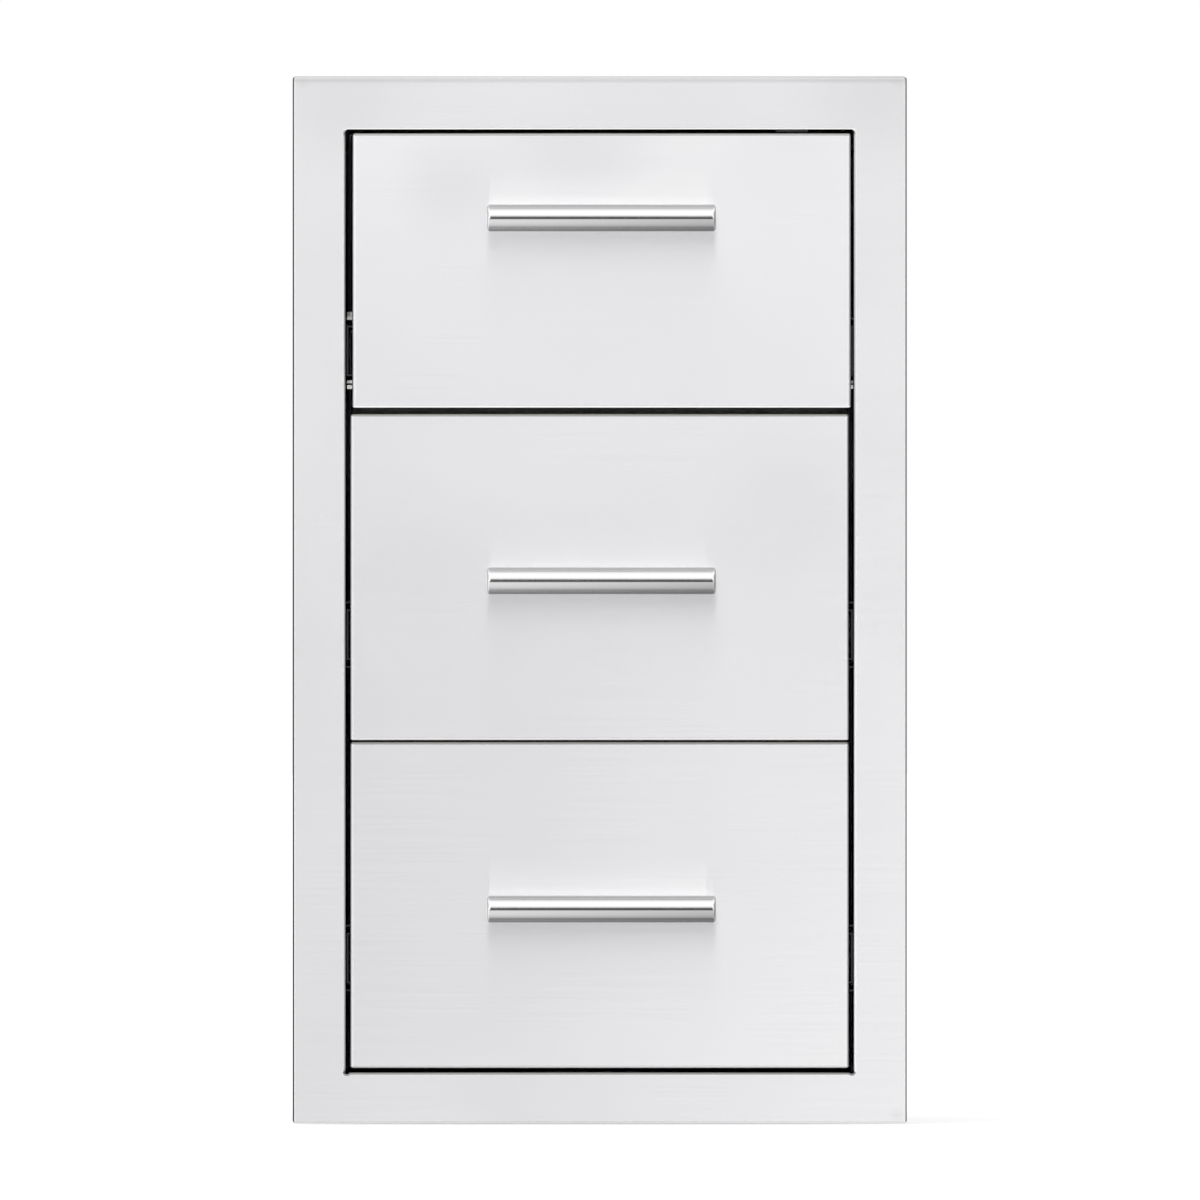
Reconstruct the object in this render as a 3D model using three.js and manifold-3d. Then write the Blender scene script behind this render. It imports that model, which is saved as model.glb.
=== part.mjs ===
// An outdoor kitchen drawer unit: a folded stainless steel face frame and cabinet with
// three inset drawers on full-extension ball-bearing slides.
// Millimetres, +Z up, the fronts face -Y. The origin is the centre of the cabinet's underside.
import * as THREE from "three";
import { mergeVertices } from "three/addons/utils/BufferGeometryUtils.js";
import Module from "manifold-3d";

const wasm = await Module();
wasm.setup();

// Face frame: one sheet, folded back round its outer edge and round the opening
const openingWidth = 347.6;
const openingHeight = 644.8;
const stileWidth = 36.2;
const topRailHeight = 36.3;
const bottomRailHeight = 35;
const frameSheet = 1.2;
const frameBend = 1.6;
const frameCornerRadius = 1.5;
const openingCornerRadius = 1.4;
const flangeReturn = 9.5;
const flangeHem = 10;
const openingReturn = 22;

// Cabinet: side sheets, with a top, a bottom and a back pan nested between them
const cabinetSheet = 1;
const cabinetBend = 2;
const cabinetFlange = 15;
const panelSetback = 3;
const rearSpace = 27.7;
const lapGap = 0.3;

// A lug lanced down from the top pan, behind the frame's return
const lugWidth = 21.8;
const lugDrop = 2.8;
const lugPlace = 131.6;

// Drawer fronts: a folded outer skin closed by a dished liner. The bottom front takes the
// height that is left.
const sideGap = 3.5;
const topGap = 2.5;
const upperGap = 4.2;
const lowerGap = 1.2;
const bottomGap = 3;
const topFrontHeight = 187.8;
const middleFrontHeight = 223.1;
const topFrontShift = 1.4;
const frontDepth = 20;
const frontSheet = 1;
const frontBend = 1.8;
const frontCornerRadius = 1.6;
const frontHem = 12;
const linerSheet = 0.8;
const linerInset = 6;
const linerRim = 8;
const linerSlope = 2;
const linerDish = 2;

// Drawer trays: folded boxes with hemmed top edges
const trayOverrun = 1.5;
const trayHeadroom = 47;
const traySheet = 1;
const trayBend = 2.5;
const trayCornerRadius = 3;
const trayHem = 12;
const trayHemDrop = 6;
const trayRise = 12;

// Bar handles on two posts
const barDiameter = 18.4;
const barLength = 157.5;
const barEdgeRadius = 2;
const barReach = 33;
const barShift = 1.2;
const topBarDrop = 58.3;
const barBelowMiddle = 2.6;
const postDiameter = 12;
const postInset = 14.75;
const copeGap = 0.3;

// Ball-bearing slides, measured from the cabinet's side towards the drawer
const slideLength = 457;
const slideHeight = 45.7;
const slideThickness = 12.7;
const slideSheet = 1.1;
const slideSetback = 1.3;
const slideWebGap = 1.1;
const outerBall = 4;
const innerBall = 3.2;
const innerBallPlace = 7.6;
const ballPlay = 0.3;
const cageSheet = 0.5;
const cageGap = 0.35;
const cageLength = 216;
const cageEdge = 1.3;
const ballRowShare = 0.86;
const ballsPerRow = 4;
const memberBend = 1.2;
const slotLength = 9;
const slotWidth = 4.6;
const windowLength = 34;
const windowWidth = 13;
const cutOverrun = 2;

// Where the holes lie along a member, and how high each slide sits on its tray
const slotPlaceShares = [0.08, 0.5, 0.92];
const windowPlaceShares = [0.22, 0.78];
const slideHeightShares = { top: 0.21, middle: 0.366, bottom: 0.384 };

// Places that several pieces share
const cabinetDepth = openingReturn + slideSetback + slideLength + rearSpace;
const faceY = -(cabinetDepth + panelSetback) / 2;
const openingBottom = cabinetSheet + lapGap + frameSheet;
const openingTop = openingBottom + openingHeight;
const cabinetTop = openingTop + openingBottom;
const sideInnerX = openingWidth / 2 + frameSheet + lapGap;
const panelFrontY = faceY + panelSetback;
const cabinetBackY = faceY + cabinetDepth;
const returnEndY = faceY + openingReturn;
const slideFrontY = returnEndY + slideSetback;
const trayFrontY = faceY + frontDepth + linerSheet;
const trayDepth = slideFrontY + slideLength + trayOverrun - trayFrontY;
const trayHalfWidth = sideInnerX - slideThickness;
const frontWidth = openingWidth - sideGap * 2;
const frontsHeight = openingHeight - topGap - upperGap - lowerGap - bottomGap;
const bottomFrontHeight = frontsHeight - topFrontHeight - middleFrontHeight;
const postSpacing = barLength - postInset * 2;

// What differs from drawer to drawer, from the top down
const drawers = [
  {
    name: "top",
    height: topFrontHeight,
    gapAbove: topGap,
    barDrop: topBarDrop,
    slideShare: slideHeightShares.top,
    sideShift: topFrontShift,
  },
  {
    name: "middle",
    height: middleFrontHeight,
    gapAbove: upperGap,
    barDrop: middleFrontHeight / 2 + barBelowMiddle,
    slideShare: slideHeightShares.middle,
    sideShift: 0,
  },
  {
    name: "bottom",
    height: bottomFrontHeight,
    gapAbove: lowerGap,
    barDrop: bottomFrontHeight / 2 + barBelowMiddle,
    slideShare: slideHeightShares.bottom,
    sideShift: 0,
  },
];

// Fineness of the curves
const cornerSteps = 3;
const bendSteps = 3;
const raceStepAngle = 30;
const barSides = 24;
const postSides = 20;
const ballSides = 6;
const ballRings = 3;
const slotEndSides = 3;

const degree = Math.PI / 180;
const quarterTurn = Math.PI / 2;
const samePlaceShare = 0.001;

function outward(geometry) {
  const merged = mergeVertices(geometry);
  const place = merged.getAttribute("position");
  const index = merged.index.array;
  const a = new THREE.Vector3();
  const b = new THREE.Vector3();
  const c = new THREE.Vector3();
  let volume = 0;
  for (let i = 0; i < index.length; i += 3) {
    a.fromBufferAttribute(place, index[i]);
    b.fromBufferAttribute(place, index[i + 1]);
    c.fromBufferAttribute(place, index[i + 2]);
    volume += a.dot(b.cross(c));
  }
  if (volume < 0) {
    for (let i = 0; i < index.length; i += 3) {
      const first = index[i];
      index[i] = index[i + 1];
      index[i + 1] = first;
    }
  }
  return merged;
}

// Skins a row of rings that have the same number of points. A closed row joins its last
// ring to its first, and an open one is capped at both ends. Points that meet are left out.
function loft(rings, closed) {
  const count = rings[0].length;
  const positions = [];
  const addTriangle = (a, b, c) => {
    if (a.equals(b) || b.equals(c) || c.equals(a)) return;
    for (const point of [a, b, c]) positions.push(point.x, point.y, point.z);
  };
  const bands = closed ? rings.length : rings.length - 1;
  for (let i = 0; i < bands; i += 1) {
    const near = rings[i];
    const far = rings[(i + 1) % rings.length];
    for (let j = 0; j < count; j += 1) {
      const next = (j + 1) % count;
      addTriangle(near[j], near[next], far[next]);
      addTriangle(near[j], far[next], far[j]);
    }
  }
  if (!closed) {
    const last = rings[rings.length - 1];
    for (let j = 1; j < count - 1; j += 1) {
      addTriangle(rings[0][0], rings[0][j + 1], rings[0][j]);
      addTriangle(last[0], last[j], last[j + 1]);
    }
  }
  const geometry = new THREE.BufferGeometry();
  geometry.setAttribute("position", new THREE.Float32BufferAttribute(positions, 3));
  return outward(geometry);
}

// A rounded rectangle as [across, up] pairs, anticlockwise from its lower right corner.
function rectanglePoints(box, radius) {
  const r = Math.max(radius, 0);
  const corners = [
    [box.right - r, box.low + r],
    [box.right - r, box.high - r],
    [box.left + r, box.high - r],
    [box.left + r, box.low + r],
  ];
  return corners.flatMap(([across, up], corner) => {
    const points = [];
    for (let i = 0; i <= cornerSteps; i += 1) {
      const angle = quarterTurn * (corner - 1 + i / cornerSteps);
      points.push([across + r * Math.cos(angle), up + r * Math.sin(angle)]);
    }
    return points;
  });
}

function insetBox(box, inset) {
  return {
    left: box.left + inset,
    right: box.right - inset,
    low: box.low + inset,
    high: box.high - inset,
  };
}

// Steps of inset and depth round a quarter bend, from a face at one depth into a wall that
// runs back from it (intoWall 1) or forward from it (intoWall -1).
function quarterBend(radius, faceDepth, intoWall) {
  const steps = [];
  for (let i = 0; i <= bendSteps; i += 1) {
    const angle = (quarterTurn * i) / bendSteps;
    const inset = radius * (1 - Math.sin(angle));
    const depth = radius * (1 - Math.cos(angle));
    steps.push({ inset, depth: faceDepth + intoWall * depth });
  }
  return steps;
}

// Rings of an outline that is inset step by step while it moves along the depth.
function panRings(box, cornerRadius, steps, placePoint) {
  return steps.map(({ inset, depth }) =>
    rectanglePoints(insetBox(box, inset), cornerRadius - inset).map(([across, up]) =>
      placePoint(across, up, depth),
    ),
  );
}

const facingFront = (across, up, depth) => new THREE.Vector3(across, depth, up);
const facingUp = (across, back, height) => new THREE.Vector3(across, back, height);

// A folded sheet seen end on: a strip of even thickness along straight runs and arcs.
class SheetPath {
  constructor(x, y) {
    this.points = [new THREE.Vector2(x, y)];
  }

  lineTo(x, y) {
    this.points.push(new THREE.Vector2(x, y));
    return this;
  }

  arc(centreX, centreY, radius, startAngle, endAngle, stepAngle) {
    const steps = Math.ceil(Math.abs(endAngle - startAngle) / stepAngle);
    for (let i = 0; i <= steps; i += 1) {
      const angle = (startAngle + ((endAngle - startAngle) * i) / steps) * degree;
      const point = new THREE.Vector2(
        centreX + radius * Math.cos(angle),
        centreY + radius * Math.sin(angle),
      );
      if (point.distanceTo(this.points[this.points.length - 1]) > radius * samePlaceShare) {
        this.points.push(point);
      }
    }
    return this;
  }

  // Both sides of the strip, each moved half the thickness from the path, with mitred bends.
  outline(thickness) {
    const points = this.points;
    const directions = points.slice(1).map((point, i) => point.clone().sub(points[i]).normalize());
    const sideOf = (sign) =>
      points.map((point, i) => {
        const before = directions[Math.max(i - 1, 0)];
        const after = directions[Math.min(i, directions.length - 1)];
        const along = before.clone().add(after).normalize();
        const spread = (sign * thickness) / 2 / along.dot(after);
        return new THREE.Vector2(point.x - along.y * spread, point.y + along.x * spread);
      });
    return new THREE.Shape([...sideOf(1), ...sideOf(-1).reverse()]);
  }
}

function extrudeAlongY(shape, startY, length) {
  const geometry = new THREE.ExtrudeGeometry(shape, { depth: length, bevelEnabled: false });
  geometry.rotateX(quarterTurn);
  geometry.translate(0, startY + length, 0);
  return geometry;
}

function extrudeAlongZ(shape, startZ, length) {
  const geometry = new THREE.ExtrudeGeometry(shape, { depth: length, bevelEnabled: false });
  geometry.translate(0, 0, startZ);
  return geometry;
}

function withoutNormals(geometry) {
  const bare = geometry.index ? geometry.toNonIndexed() : geometry.clone();
  bare.deleteAttribute("normal");
  bare.deleteAttribute("uv");
  return bare;
}

function solidOf(geometry) {
  const merged = mergeVertices(withoutNormals(geometry));
  return new wasm.Manifold(
    new wasm.Mesh({
      numProp: 3,
      vertProperties: merged.getAttribute("position").array,
      triVerts: new Uint32Array(merged.index.array),
    }),
  );
}

function geometryOf(solid) {
  const mesh = solid.getMesh();
  const geometry = new THREE.BufferGeometry();
  geometry.setAttribute("position", new THREE.BufferAttribute(mesh.vertProperties, 3));
  geometry.setIndex(new THREE.BufferAttribute(mesh.triVerts, 1));
  return geometry;
}

const finishes = {
  brushedSteel: { color: 0xd8d8da, roughness: 0.34, metalness: 1 },
  plainSteel: { color: 0xc2c4c7, roughness: 0.42, metalness: 1 },
  barSteel: { color: 0xdadbdd, roughness: 0.24, metalness: 1 },
  slideSteel: { color: 0xb9bdc1, roughness: 0.38, metalness: 1 },
  cageSteel: { color: 0xa7abb0, roughness: 0.45, metalness: 1 },
};

function pieceMesh(name, geometry, finish) {
  const mesh = new THREE.Mesh(geometry, new THREE.MeshStandardMaterial(finishes[finish]));
  mesh.name = name;
  return mesh;
}

// Face frame. Each step of the sheet's outline is measured from the opening or from the
// outer edge, so that the stiles and rails can have widths of their own.
function makeFaceFrame() {
  const opening = {
    left: -openingWidth / 2,
    right: openingWidth / 2,
    low: openingBottom,
    high: openingTop,
  };
  const outside = {
    left: opening.left - stileWidth,
    right: opening.right + stileWidth,
    low: opening.low - bottomRailHeight,
    high: opening.high + topRailHeight,
  };
  const bend = quarterBend(frameBend, 0, 1);
  const hemBend = quarterBend(frameBend, flangeReturn, -1);
  const openingRing = (outset, depth) =>
    rectanglePoints(insetBox(opening, -outset), openingCornerRadius + outset).map(([x, z]) =>
      facingFront(x, z, faceY + depth),
    );
  const outsideRing = (inset, depth) =>
    rectanglePoints(insetBox(outside, inset), frameCornerRadius - inset).map(([x, z]) =>
      facingFront(x, z, faceY + depth),
    );
  const rings = [
    openingRing(0, openingReturn),
    ...bend.toReversed().map(({ inset, depth }) => openingRing(inset, depth)),
    ...bend.map(({ inset, depth }) => outsideRing(inset, depth)),
    ...hemBend.toReversed().map(({ inset, depth }) => outsideRing(inset, depth)),
    outsideRing(flangeHem, flangeReturn),
    outsideRing(flangeHem, flangeReturn - frameSheet),
    outsideRing(frameSheet, flangeReturn - frameSheet),
    outsideRing(frameSheet, frameSheet),
    openingRing(frameSheet, frameSheet),
    openingRing(frameSheet, openingReturn),
  ];
  return pieceMesh("face_frame", loft(rings, true), "brushedSteel");
}

// A cabinet side: a sheet whose rear edge is turned in behind the back pan.
function makeCabinetSide(name, side) {
  const lineX = side * (sideInnerX + cabinetSheet / 2);
  const rearY = cabinetBackY - cabinetSheet / 2;
  const bendRadius = cabinetBend - cabinetSheet / 2;
  const path = new SheetPath(lineX, panelFrontY).lineTo(lineX, rearY - bendRadius);
  const centreX = lineX - side * bendRadius;
  const startAngle = side > 0 ? 0 : 180;
  path.arc(centreX, rearY - bendRadius, bendRadius, startAngle, 90, 90 / bendSteps);
  path.lineTo(lineX - side * cabinetFlange, rearY);
  return pieceMesh(name, extrudeAlongZ(path.outline(cabinetSheet), 0, cabinetTop), "plainSteel");
}

// The top or bottom pan: its side flanges stop behind the face frame's folded return, and a
// flat tongue runs on below or above that return.
function makeCabinetEnd(name, isTop) {
  const turn = isTop ? -1 : 1;
  const outerZ = isTop ? cabinetTop : 0;
  const lineZ = outerZ + (turn * cabinetSheet) / 2;
  const lineX = sideInnerX - lapGap - cabinetSheet / 2;
  const bendRadius = cabinetBend - cabinetSheet / 2;
  const flangeEndZ = outerZ + turn * cabinetFlange;
  const bendZ = lineZ + turn * bendRadius;
  const path = new SheetPath(lineX, flangeEndZ).lineTo(lineX, bendZ);
  path.arc(lineX - bendRadius, bendZ, bendRadius, 0, -turn * 90, 90 / bendSteps);
  path.arc(-lineX + bendRadius, bendZ, bendRadius, -turn * 90, -turn * 180, 90 / bendSteps);
  path.lineTo(-lineX, flangeEndZ);
  const flangeStartY = returnEndY + lapGap;
  const panEndY = cabinetBackY - cabinetBend - lapGap;
  const pan = extrudeAlongY(path.outline(cabinetSheet), flangeStartY, panEndY - flangeStartY);
  const tongueHalf = lineX - bendRadius;
  const tongueLength = flangeStartY + cabinetFlange - panelFrontY;
  const tongue = new THREE.BoxGeometry(tongueHalf * 2, tongueLength, cabinetSheet);
  tongue.translate(0, panelFrontY + tongueLength / 2, lineZ);
  let joined = solidOf(pan).add(solidOf(tongue));
  if (isTop) {
    const lugHeight = lugDrop + cabinetSheet;
    const lug = new THREE.BoxGeometry(lugWidth, cabinetSheet, lugHeight);
    lug.translate(lugPlace, flangeStartY + cabinetSheet / 2, outerZ - lugHeight / 2);
    joined = joined.add(solidOf(lug));
  }
  return pieceMesh(name, geometryOf(joined), "plainSteel");
}

// The back pan, with its flanges turned forward inside the sides, top and bottom.
function makeCabinetBack() {
  const fit = cabinetSheet + lapGap;
  const box = {
    left: -sideInnerX + fit + lapGap,
    right: sideInnerX - fit - lapGap,
    low: fit,
    high: cabinetTop - fit,
  };
  const rearY = cabinetBackY - fit;
  const steps = [
    ...quarterBend(cabinetBend, rearY, -1),
    { inset: 0, depth: rearY - cabinetFlange },
    { inset: cabinetSheet, depth: rearY - cabinetFlange },
    { inset: cabinetSheet, depth: rearY - cabinetSheet },
  ];
  const rings = panRings(box, cabinetBend, steps, facingFront);
  return pieceMesh("cabinet_back", loft(rings, false), "plainSteel");
}

// A drawer front's outer skin: a pan folded back on four sides, with a hem turned in behind.
function makeFrontSkin(name, box) {
  const steps = [
    ...quarterBend(frontBend, 0, 1),
    ...quarterBend(frontBend, frontDepth, -1).toReversed(),
    { inset: frontHem, depth: frontDepth },
    { inset: frontHem, depth: frontDepth - frontSheet },
    { inset: frontSheet, depth: frontDepth - frontSheet },
    { inset: frontSheet, depth: frontSheet },
  ];
  const placed = (across, up, depth) => facingFront(across, up, faceY + depth);
  const rings = panRings(box, frontCornerRadius, steps, placed);
  return pieceMesh(name, loft(rings, false), "brushedSteel");
}

// The liner that closes a drawer front, dished forward into the skin's open back.
function makeFrontLiner(name, box) {
  const dishStart = linerInset + linerRim;
  const dishEnd = dishStart + linerSlope;
  const rear = frontDepth + linerSheet;
  const steps = [
    { inset: dishEnd, depth: frontDepth - linerDish },
    { inset: dishStart, depth: frontDepth },
    { inset: linerInset, depth: frontDepth },
    { inset: linerInset, depth: rear },
    { inset: dishStart, depth: rear },
    { inset: dishEnd, depth: rear - linerDish },
  ];
  const placed = (across, up, depth) => facingFront(across, up, faceY + depth);
  const rings = panRings(box, linerInset + frontCornerRadius, steps, placed);
  return pieceMesh(name, loft(rings, false), "plainSteel");
}

// A drawer tray: floor and four walls, whose top edges turn in and down as a hem.
function makeTray(name, floorZ, height) {
  const box = {
    left: -trayHalfWidth,
    right: trayHalfWidth,
    low: trayFrontY,
    high: trayFrontY + trayDepth,
  };
  const steps = [
    ...quarterBend(trayBend, 0, 1),
    ...quarterBend(trayBend, height, -1).toReversed(),
    { inset: trayHem, depth: height },
    { inset: trayHem, depth: height - trayHemDrop },
    { inset: trayHem - traySheet, depth: height - trayHemDrop },
    { inset: trayHem - traySheet, depth: height - traySheet },
    { inset: traySheet, depth: height - traySheet },
    { inset: traySheet, depth: traySheet },
  ];
  const placed = (across, back, up) => facingUp(across, back, floorZ + up);
  const rings = panRings(box, trayCornerRadius, steps, placed);
  return pieceMesh(name, loft(rings, false), "plainSteel");
}

// A bar handle with eased ends, turned about its own axis and laid along X.
function makeHandleBar(name, centreX, centreY, centreZ) {
  const radius = barDiameter / 2;
  const half = barLength / 2;
  const quarter = [];
  for (let i = 0; i <= bendSteps; i += 1) {
    const angle = (quarterTurn * i) / bendSteps;
    quarter.push(
      new THREE.Vector2(
        radius - barEdgeRadius * (1 - Math.cos(angle)),
        half - barEdgeRadius * (1 - Math.sin(angle)),
      ),
    );
  }
  const profile = [
    new THREE.Vector2(0, -half),
    ...quarter.toReversed().map((point) => new THREE.Vector2(point.x, -point.y)),
    ...quarter,
    new THREE.Vector2(0, half),
  ];
  const geometry = new THREE.LatheGeometry(profile, barSides);
  geometry.rotateZ(-quarterTurn);
  geometry.translate(centreX, centreY, centreZ);
  return pieceMesh(name, outward(withoutNormals(geometry)), "barSteel");
}

// A handle post from the drawer's face to the bar, its end coped to the bar's round back.
function makeHandlePost(name, centreX, barY, centreZ) {
  const length = faceY - barY;
  const post = new THREE.CylinderGeometry(postDiameter / 2, postDiameter / 2, length, postSides);
  post.translate(centreX, faceY - length / 2, centreZ);
  const copeRadius = barDiameter / 2 + copeGap;
  const cope = new THREE.CylinderGeometry(copeRadius, copeRadius, barLength, barSides);
  cope.rotateZ(quarterTurn);
  cope.translate(centreX, barY, centreZ);
  return pieceMesh(name, geometryOf(solidOf(post).subtract(solidOf(cope))), "barSteel");
}

// The slide's section. Across runs from the cabinet's side towards the drawer, and up from
// the slide's centre line. Each race is an arc round its row of balls.
const outerRace = outerBall / 2 + ballPlay + slideSheet / 2;
const innerRace = innerBall / 2 + ballPlay + slideSheet / 2;
const outerBallAcross = slideSheet / 2 + outerRace;
const outerBallUp = slideHeight / 2 - slideSheet / 2 - outerRace;
const innerBallUp = outerBallUp - (outerBall + innerBall) / 2 - slideSheet - ballPlay * 2;
const intermediateWeb = slideSheet + slideWebGap + slideSheet / 2;
const drawerWeb = slideThickness - slideSheet / 2;

// Bends the upper half of a section, given from its lip to its web, and repeats it below.
function mirroredPath(upper) {
  const points = upper.points;
  const path = new SheetPath(points[0].x, points[0].y);
  for (const point of points.slice(1)) path.lineTo(point.x, point.y);
  for (const point of points.toReversed()) path.lineTo(point.x, -point.y);
  return path;
}

function cabinetMemberPath() {
  const lipAngle = 12;
  const startX = outerBallAcross + outerRace * Math.cos(lipAngle * degree);
  const startY = outerBallUp + outerRace * Math.sin(lipAngle * degree);
  const upper = new SheetPath(startX, startY);
  upper.arc(outerBallAcross, outerBallUp, outerRace, lipAngle, 180, raceStepAngle);
  return mirroredPath(upper);
}

function intermediateMemberPath() {
  const lipAngle = -8;
  const crestAngle = 105;
  const grooveAngle = 285;
  const webAngle = 180 + Math.acos((outerBallAcross - intermediateWeb) / outerRace) / degree;
  const startX = innerBallPlace + innerRace * Math.cos(lipAngle * degree);
  const startY = innerBallUp + innerRace * Math.sin(lipAngle * degree);
  const upper = new SheetPath(startX, startY);
  upper.arc(innerBallPlace, innerBallUp, innerRace, lipAngle, crestAngle, raceStepAngle);
  upper.arc(outerBallAcross, outerBallUp, outerRace, grooveAngle, webAngle, raceStepAngle);
  return mirroredPath(upper);
}

function drawerMemberPath() {
  const lipAngle = 212;
  const flangeUp = innerBallUp - innerRace;
  const startX = innerBallPlace + innerRace * Math.cos(lipAngle * degree);
  const startY = innerBallUp + innerRace * Math.sin(lipAngle * degree);
  const upper = new SheetPath(startX, startY);
  upper.arc(innerBallPlace, innerBallUp, innerRace, lipAngle, 270, raceStepAngle);
  upper.arc(drawerWeb - memberBend, flangeUp - memberBend, memberBend, 90, 0, raceStepAngle);
  return mirroredPath(upper);
}

// A cage is a channel whose two edges carry the rows of balls.
function cagePath(webAcross, ballAcross, ballUp) {
  const upper = new SheetPath(ballAcross + cageEdge, ballUp).lineTo(webAcross, ballUp);
  return mirroredPath(upper);
}

// Moves a section to its own side of the cabinet, mirrored for the right side.
function placedPath(path, side) {
  const [first, ...rest] = path.points;
  const placed = new SheetPath(side * (sideInnerX - first.x), first.y);
  for (const point of rest) placed.lineTo(side * (sideInnerX - point.x), point.y);
  return placed;
}

// A hole with round ends, lying along Y, that goes through a web at one place across.
function slotCutter(length, width, x, centreY) {
  const radius = width / 2;
  const straight = (length - width) / 2;
  const points = [];
  for (const end of [0, 1]) {
    for (let i = 0; i <= slotEndSides; i += 1) {
      const angle = Math.PI * (end + i / slotEndSides) - quarterTurn;
      const along = (end ? -straight : straight) + radius * Math.cos(angle);
      points.push(new THREE.Vector2(along, radius * Math.sin(angle)));
    }
  }
  const depth = slideSheet + cutOverrun;
  const geometry = new THREE.ExtrudeGeometry(new THREE.Shape(points), {
    depth,
    bevelEnabled: false,
  });
  geometry.translate(0, 0, -depth / 2);
  geometry.rotateX(quarterTurn);
  geometry.rotateZ(quarterTurn);
  geometry.translate(x, centreY, 0);
  return solidOf(geometry);
}

// A slide member: its section along the slide, with a row of holes through its web.
function makeMember(name, path, side, webAcross, holes) {
  const strip = extrudeAlongY(
    placedPath(path, side).outline(slideSheet),
    slideFrontY,
    slideLength,
  );
  const webX = side * (sideInnerX - webAcross);
  let solid = solidOf(strip);
  for (const share of holes.placeShares) {
    const centreY = slideFrontY + slideLength * share;
    solid = solid.subtract(slotCutter(holes.length, holes.width, webX, centreY));
  }
  return pieceMesh(name, geometryOf(solid), "slideSteel");
}

function makeCage(name, webAcross, ballAcross, ballUp, ballDiameter, side) {
  const path = placedPath(cagePath(webAcross, ballAcross, ballUp), side);
  const centreY = slideFrontY + slideLength / 2;
  const strip = extrudeAlongY(path.outline(cageSheet), centreY - cageLength / 2, cageLength);
  let solid = solidOf(strip);
  const rowLength = cageLength * ballRowShare;
  for (const level of [-1, 1]) {
    for (let i = 0; i < ballsPerRow; i += 1) {
      const ball = new THREE.SphereGeometry(ballDiameter / 2, ballSides, ballRings);
      const along = centreY + rowLength * (i / (ballsPerRow - 1) - 0.5);
      ball.rotateX(quarterTurn);
      ball.translate(side * (sideInnerX - ballAcross), along, level * ballUp);
      solid = solid.add(solidOf(ball));
    }
  }
  return pieceMesh(name, geometryOf(solid), "cageSteel");
}

// One slide: three members and the two ball cages between them, at one height.
function makeSlide(prefix, side, centreZ) {
  const slots = { length: slotLength, width: slotWidth, placeShares: slotPlaceShares };
  const windows = { length: windowLength, width: windowWidth, placeShares: windowPlaceShares };
  const cabinetWeb = slideSheet / 2;
  const name = (piece) => `${prefix}_${piece}`;
  const slide = new THREE.Group();
  slide.position.z = centreZ;
  slide.add(
    makeMember(name("cabinet_member"), cabinetMemberPath(), side, cabinetWeb, slots),
    makeMember(
      name("intermediate_member"),
      intermediateMemberPath(),
      side,
      intermediateWeb,
      windows,
    ),
    makeMember(name("drawer_member"), drawerMemberPath(), side, drawerWeb, slots),
    makeCage(
      name("outer_ball_cage"),
      slideSheet + slideWebGap / 2,
      outerBallAcross,
      outerBallUp,
      outerBall,
      side,
    ),
    makeCage(
      name("inner_ball_cage"),
      intermediateWeb + slideSheet / 2 + cageGap + cageSheet / 2,
      innerBallPlace,
      innerBallUp,
      innerBall,
      side,
    ),
  );
  return slide;
}

// One drawer with its front, tray, handle and pair of slides.
function makeDrawer(drawer, frontTop) {
  const group = new THREE.Group();
  const frontLow = frontTop - drawer.height;
  const box = {
    left: -frontWidth / 2 + drawer.sideShift,
    right: frontWidth / 2 + drawer.sideShift,
    low: frontLow,
    high: frontTop,
  };
  const barY = faceY - barReach;
  const barZ = frontTop - drawer.barDrop;
  const trayFloor = frontLow + trayRise;
  const trayHeight = drawer.height - trayRise - trayHeadroom;
  const slideZ = trayFloor + trayHeight * drawer.slideShare;
  group.add(
    makeFrontSkin(`${drawer.name}_front_skin`, box),
    makeFrontLiner(`${drawer.name}_front_liner`, box),
    makeTray(`${drawer.name}_tray`, trayFloor, trayHeight),
    makeHandleBar(`${drawer.name}_handle_bar`, barShift, barY, barZ),
  );
  for (const [sideName, side] of [["left", -1], ["right", 1]]) {
    const postX = barShift + (side * postSpacing) / 2;
    group.add(makeHandlePost(`${drawer.name}_handle_post_${sideName}`, postX, barY, barZ));
    group.add(makeSlide(`${drawer.name}_${sideName}`, side, slideZ));
  }
  return group;
}

const drawerUnit = new THREE.Group();
drawerUnit.add(
  makeFaceFrame(),
  makeCabinetSide("cabinet_side_left", -1),
  makeCabinetSide("cabinet_side_right", 1),
  makeCabinetEnd("cabinet_bottom", false),
  makeCabinetEnd("cabinet_top", true),
  makeCabinetBack(),
);
let frontTop = openingTop;
for (const drawer of drawers) {
  frontTop -= drawer.gapAbove;
  drawerUnit.add(makeDrawer(drawer, frontTop));
  frontTop -= drawer.height;
}

export default drawerUnit;
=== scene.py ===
"""Looks of a built-in outdoor kitchen drawer unit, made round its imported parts.

Lengths are millimetres unless a name says otherwise, and a mesh gets them in metres.
"""

from __future__ import annotations

import logging
import math
from dataclasses import dataclass, field
from enum import Enum
from typing import Callable, Union

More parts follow.
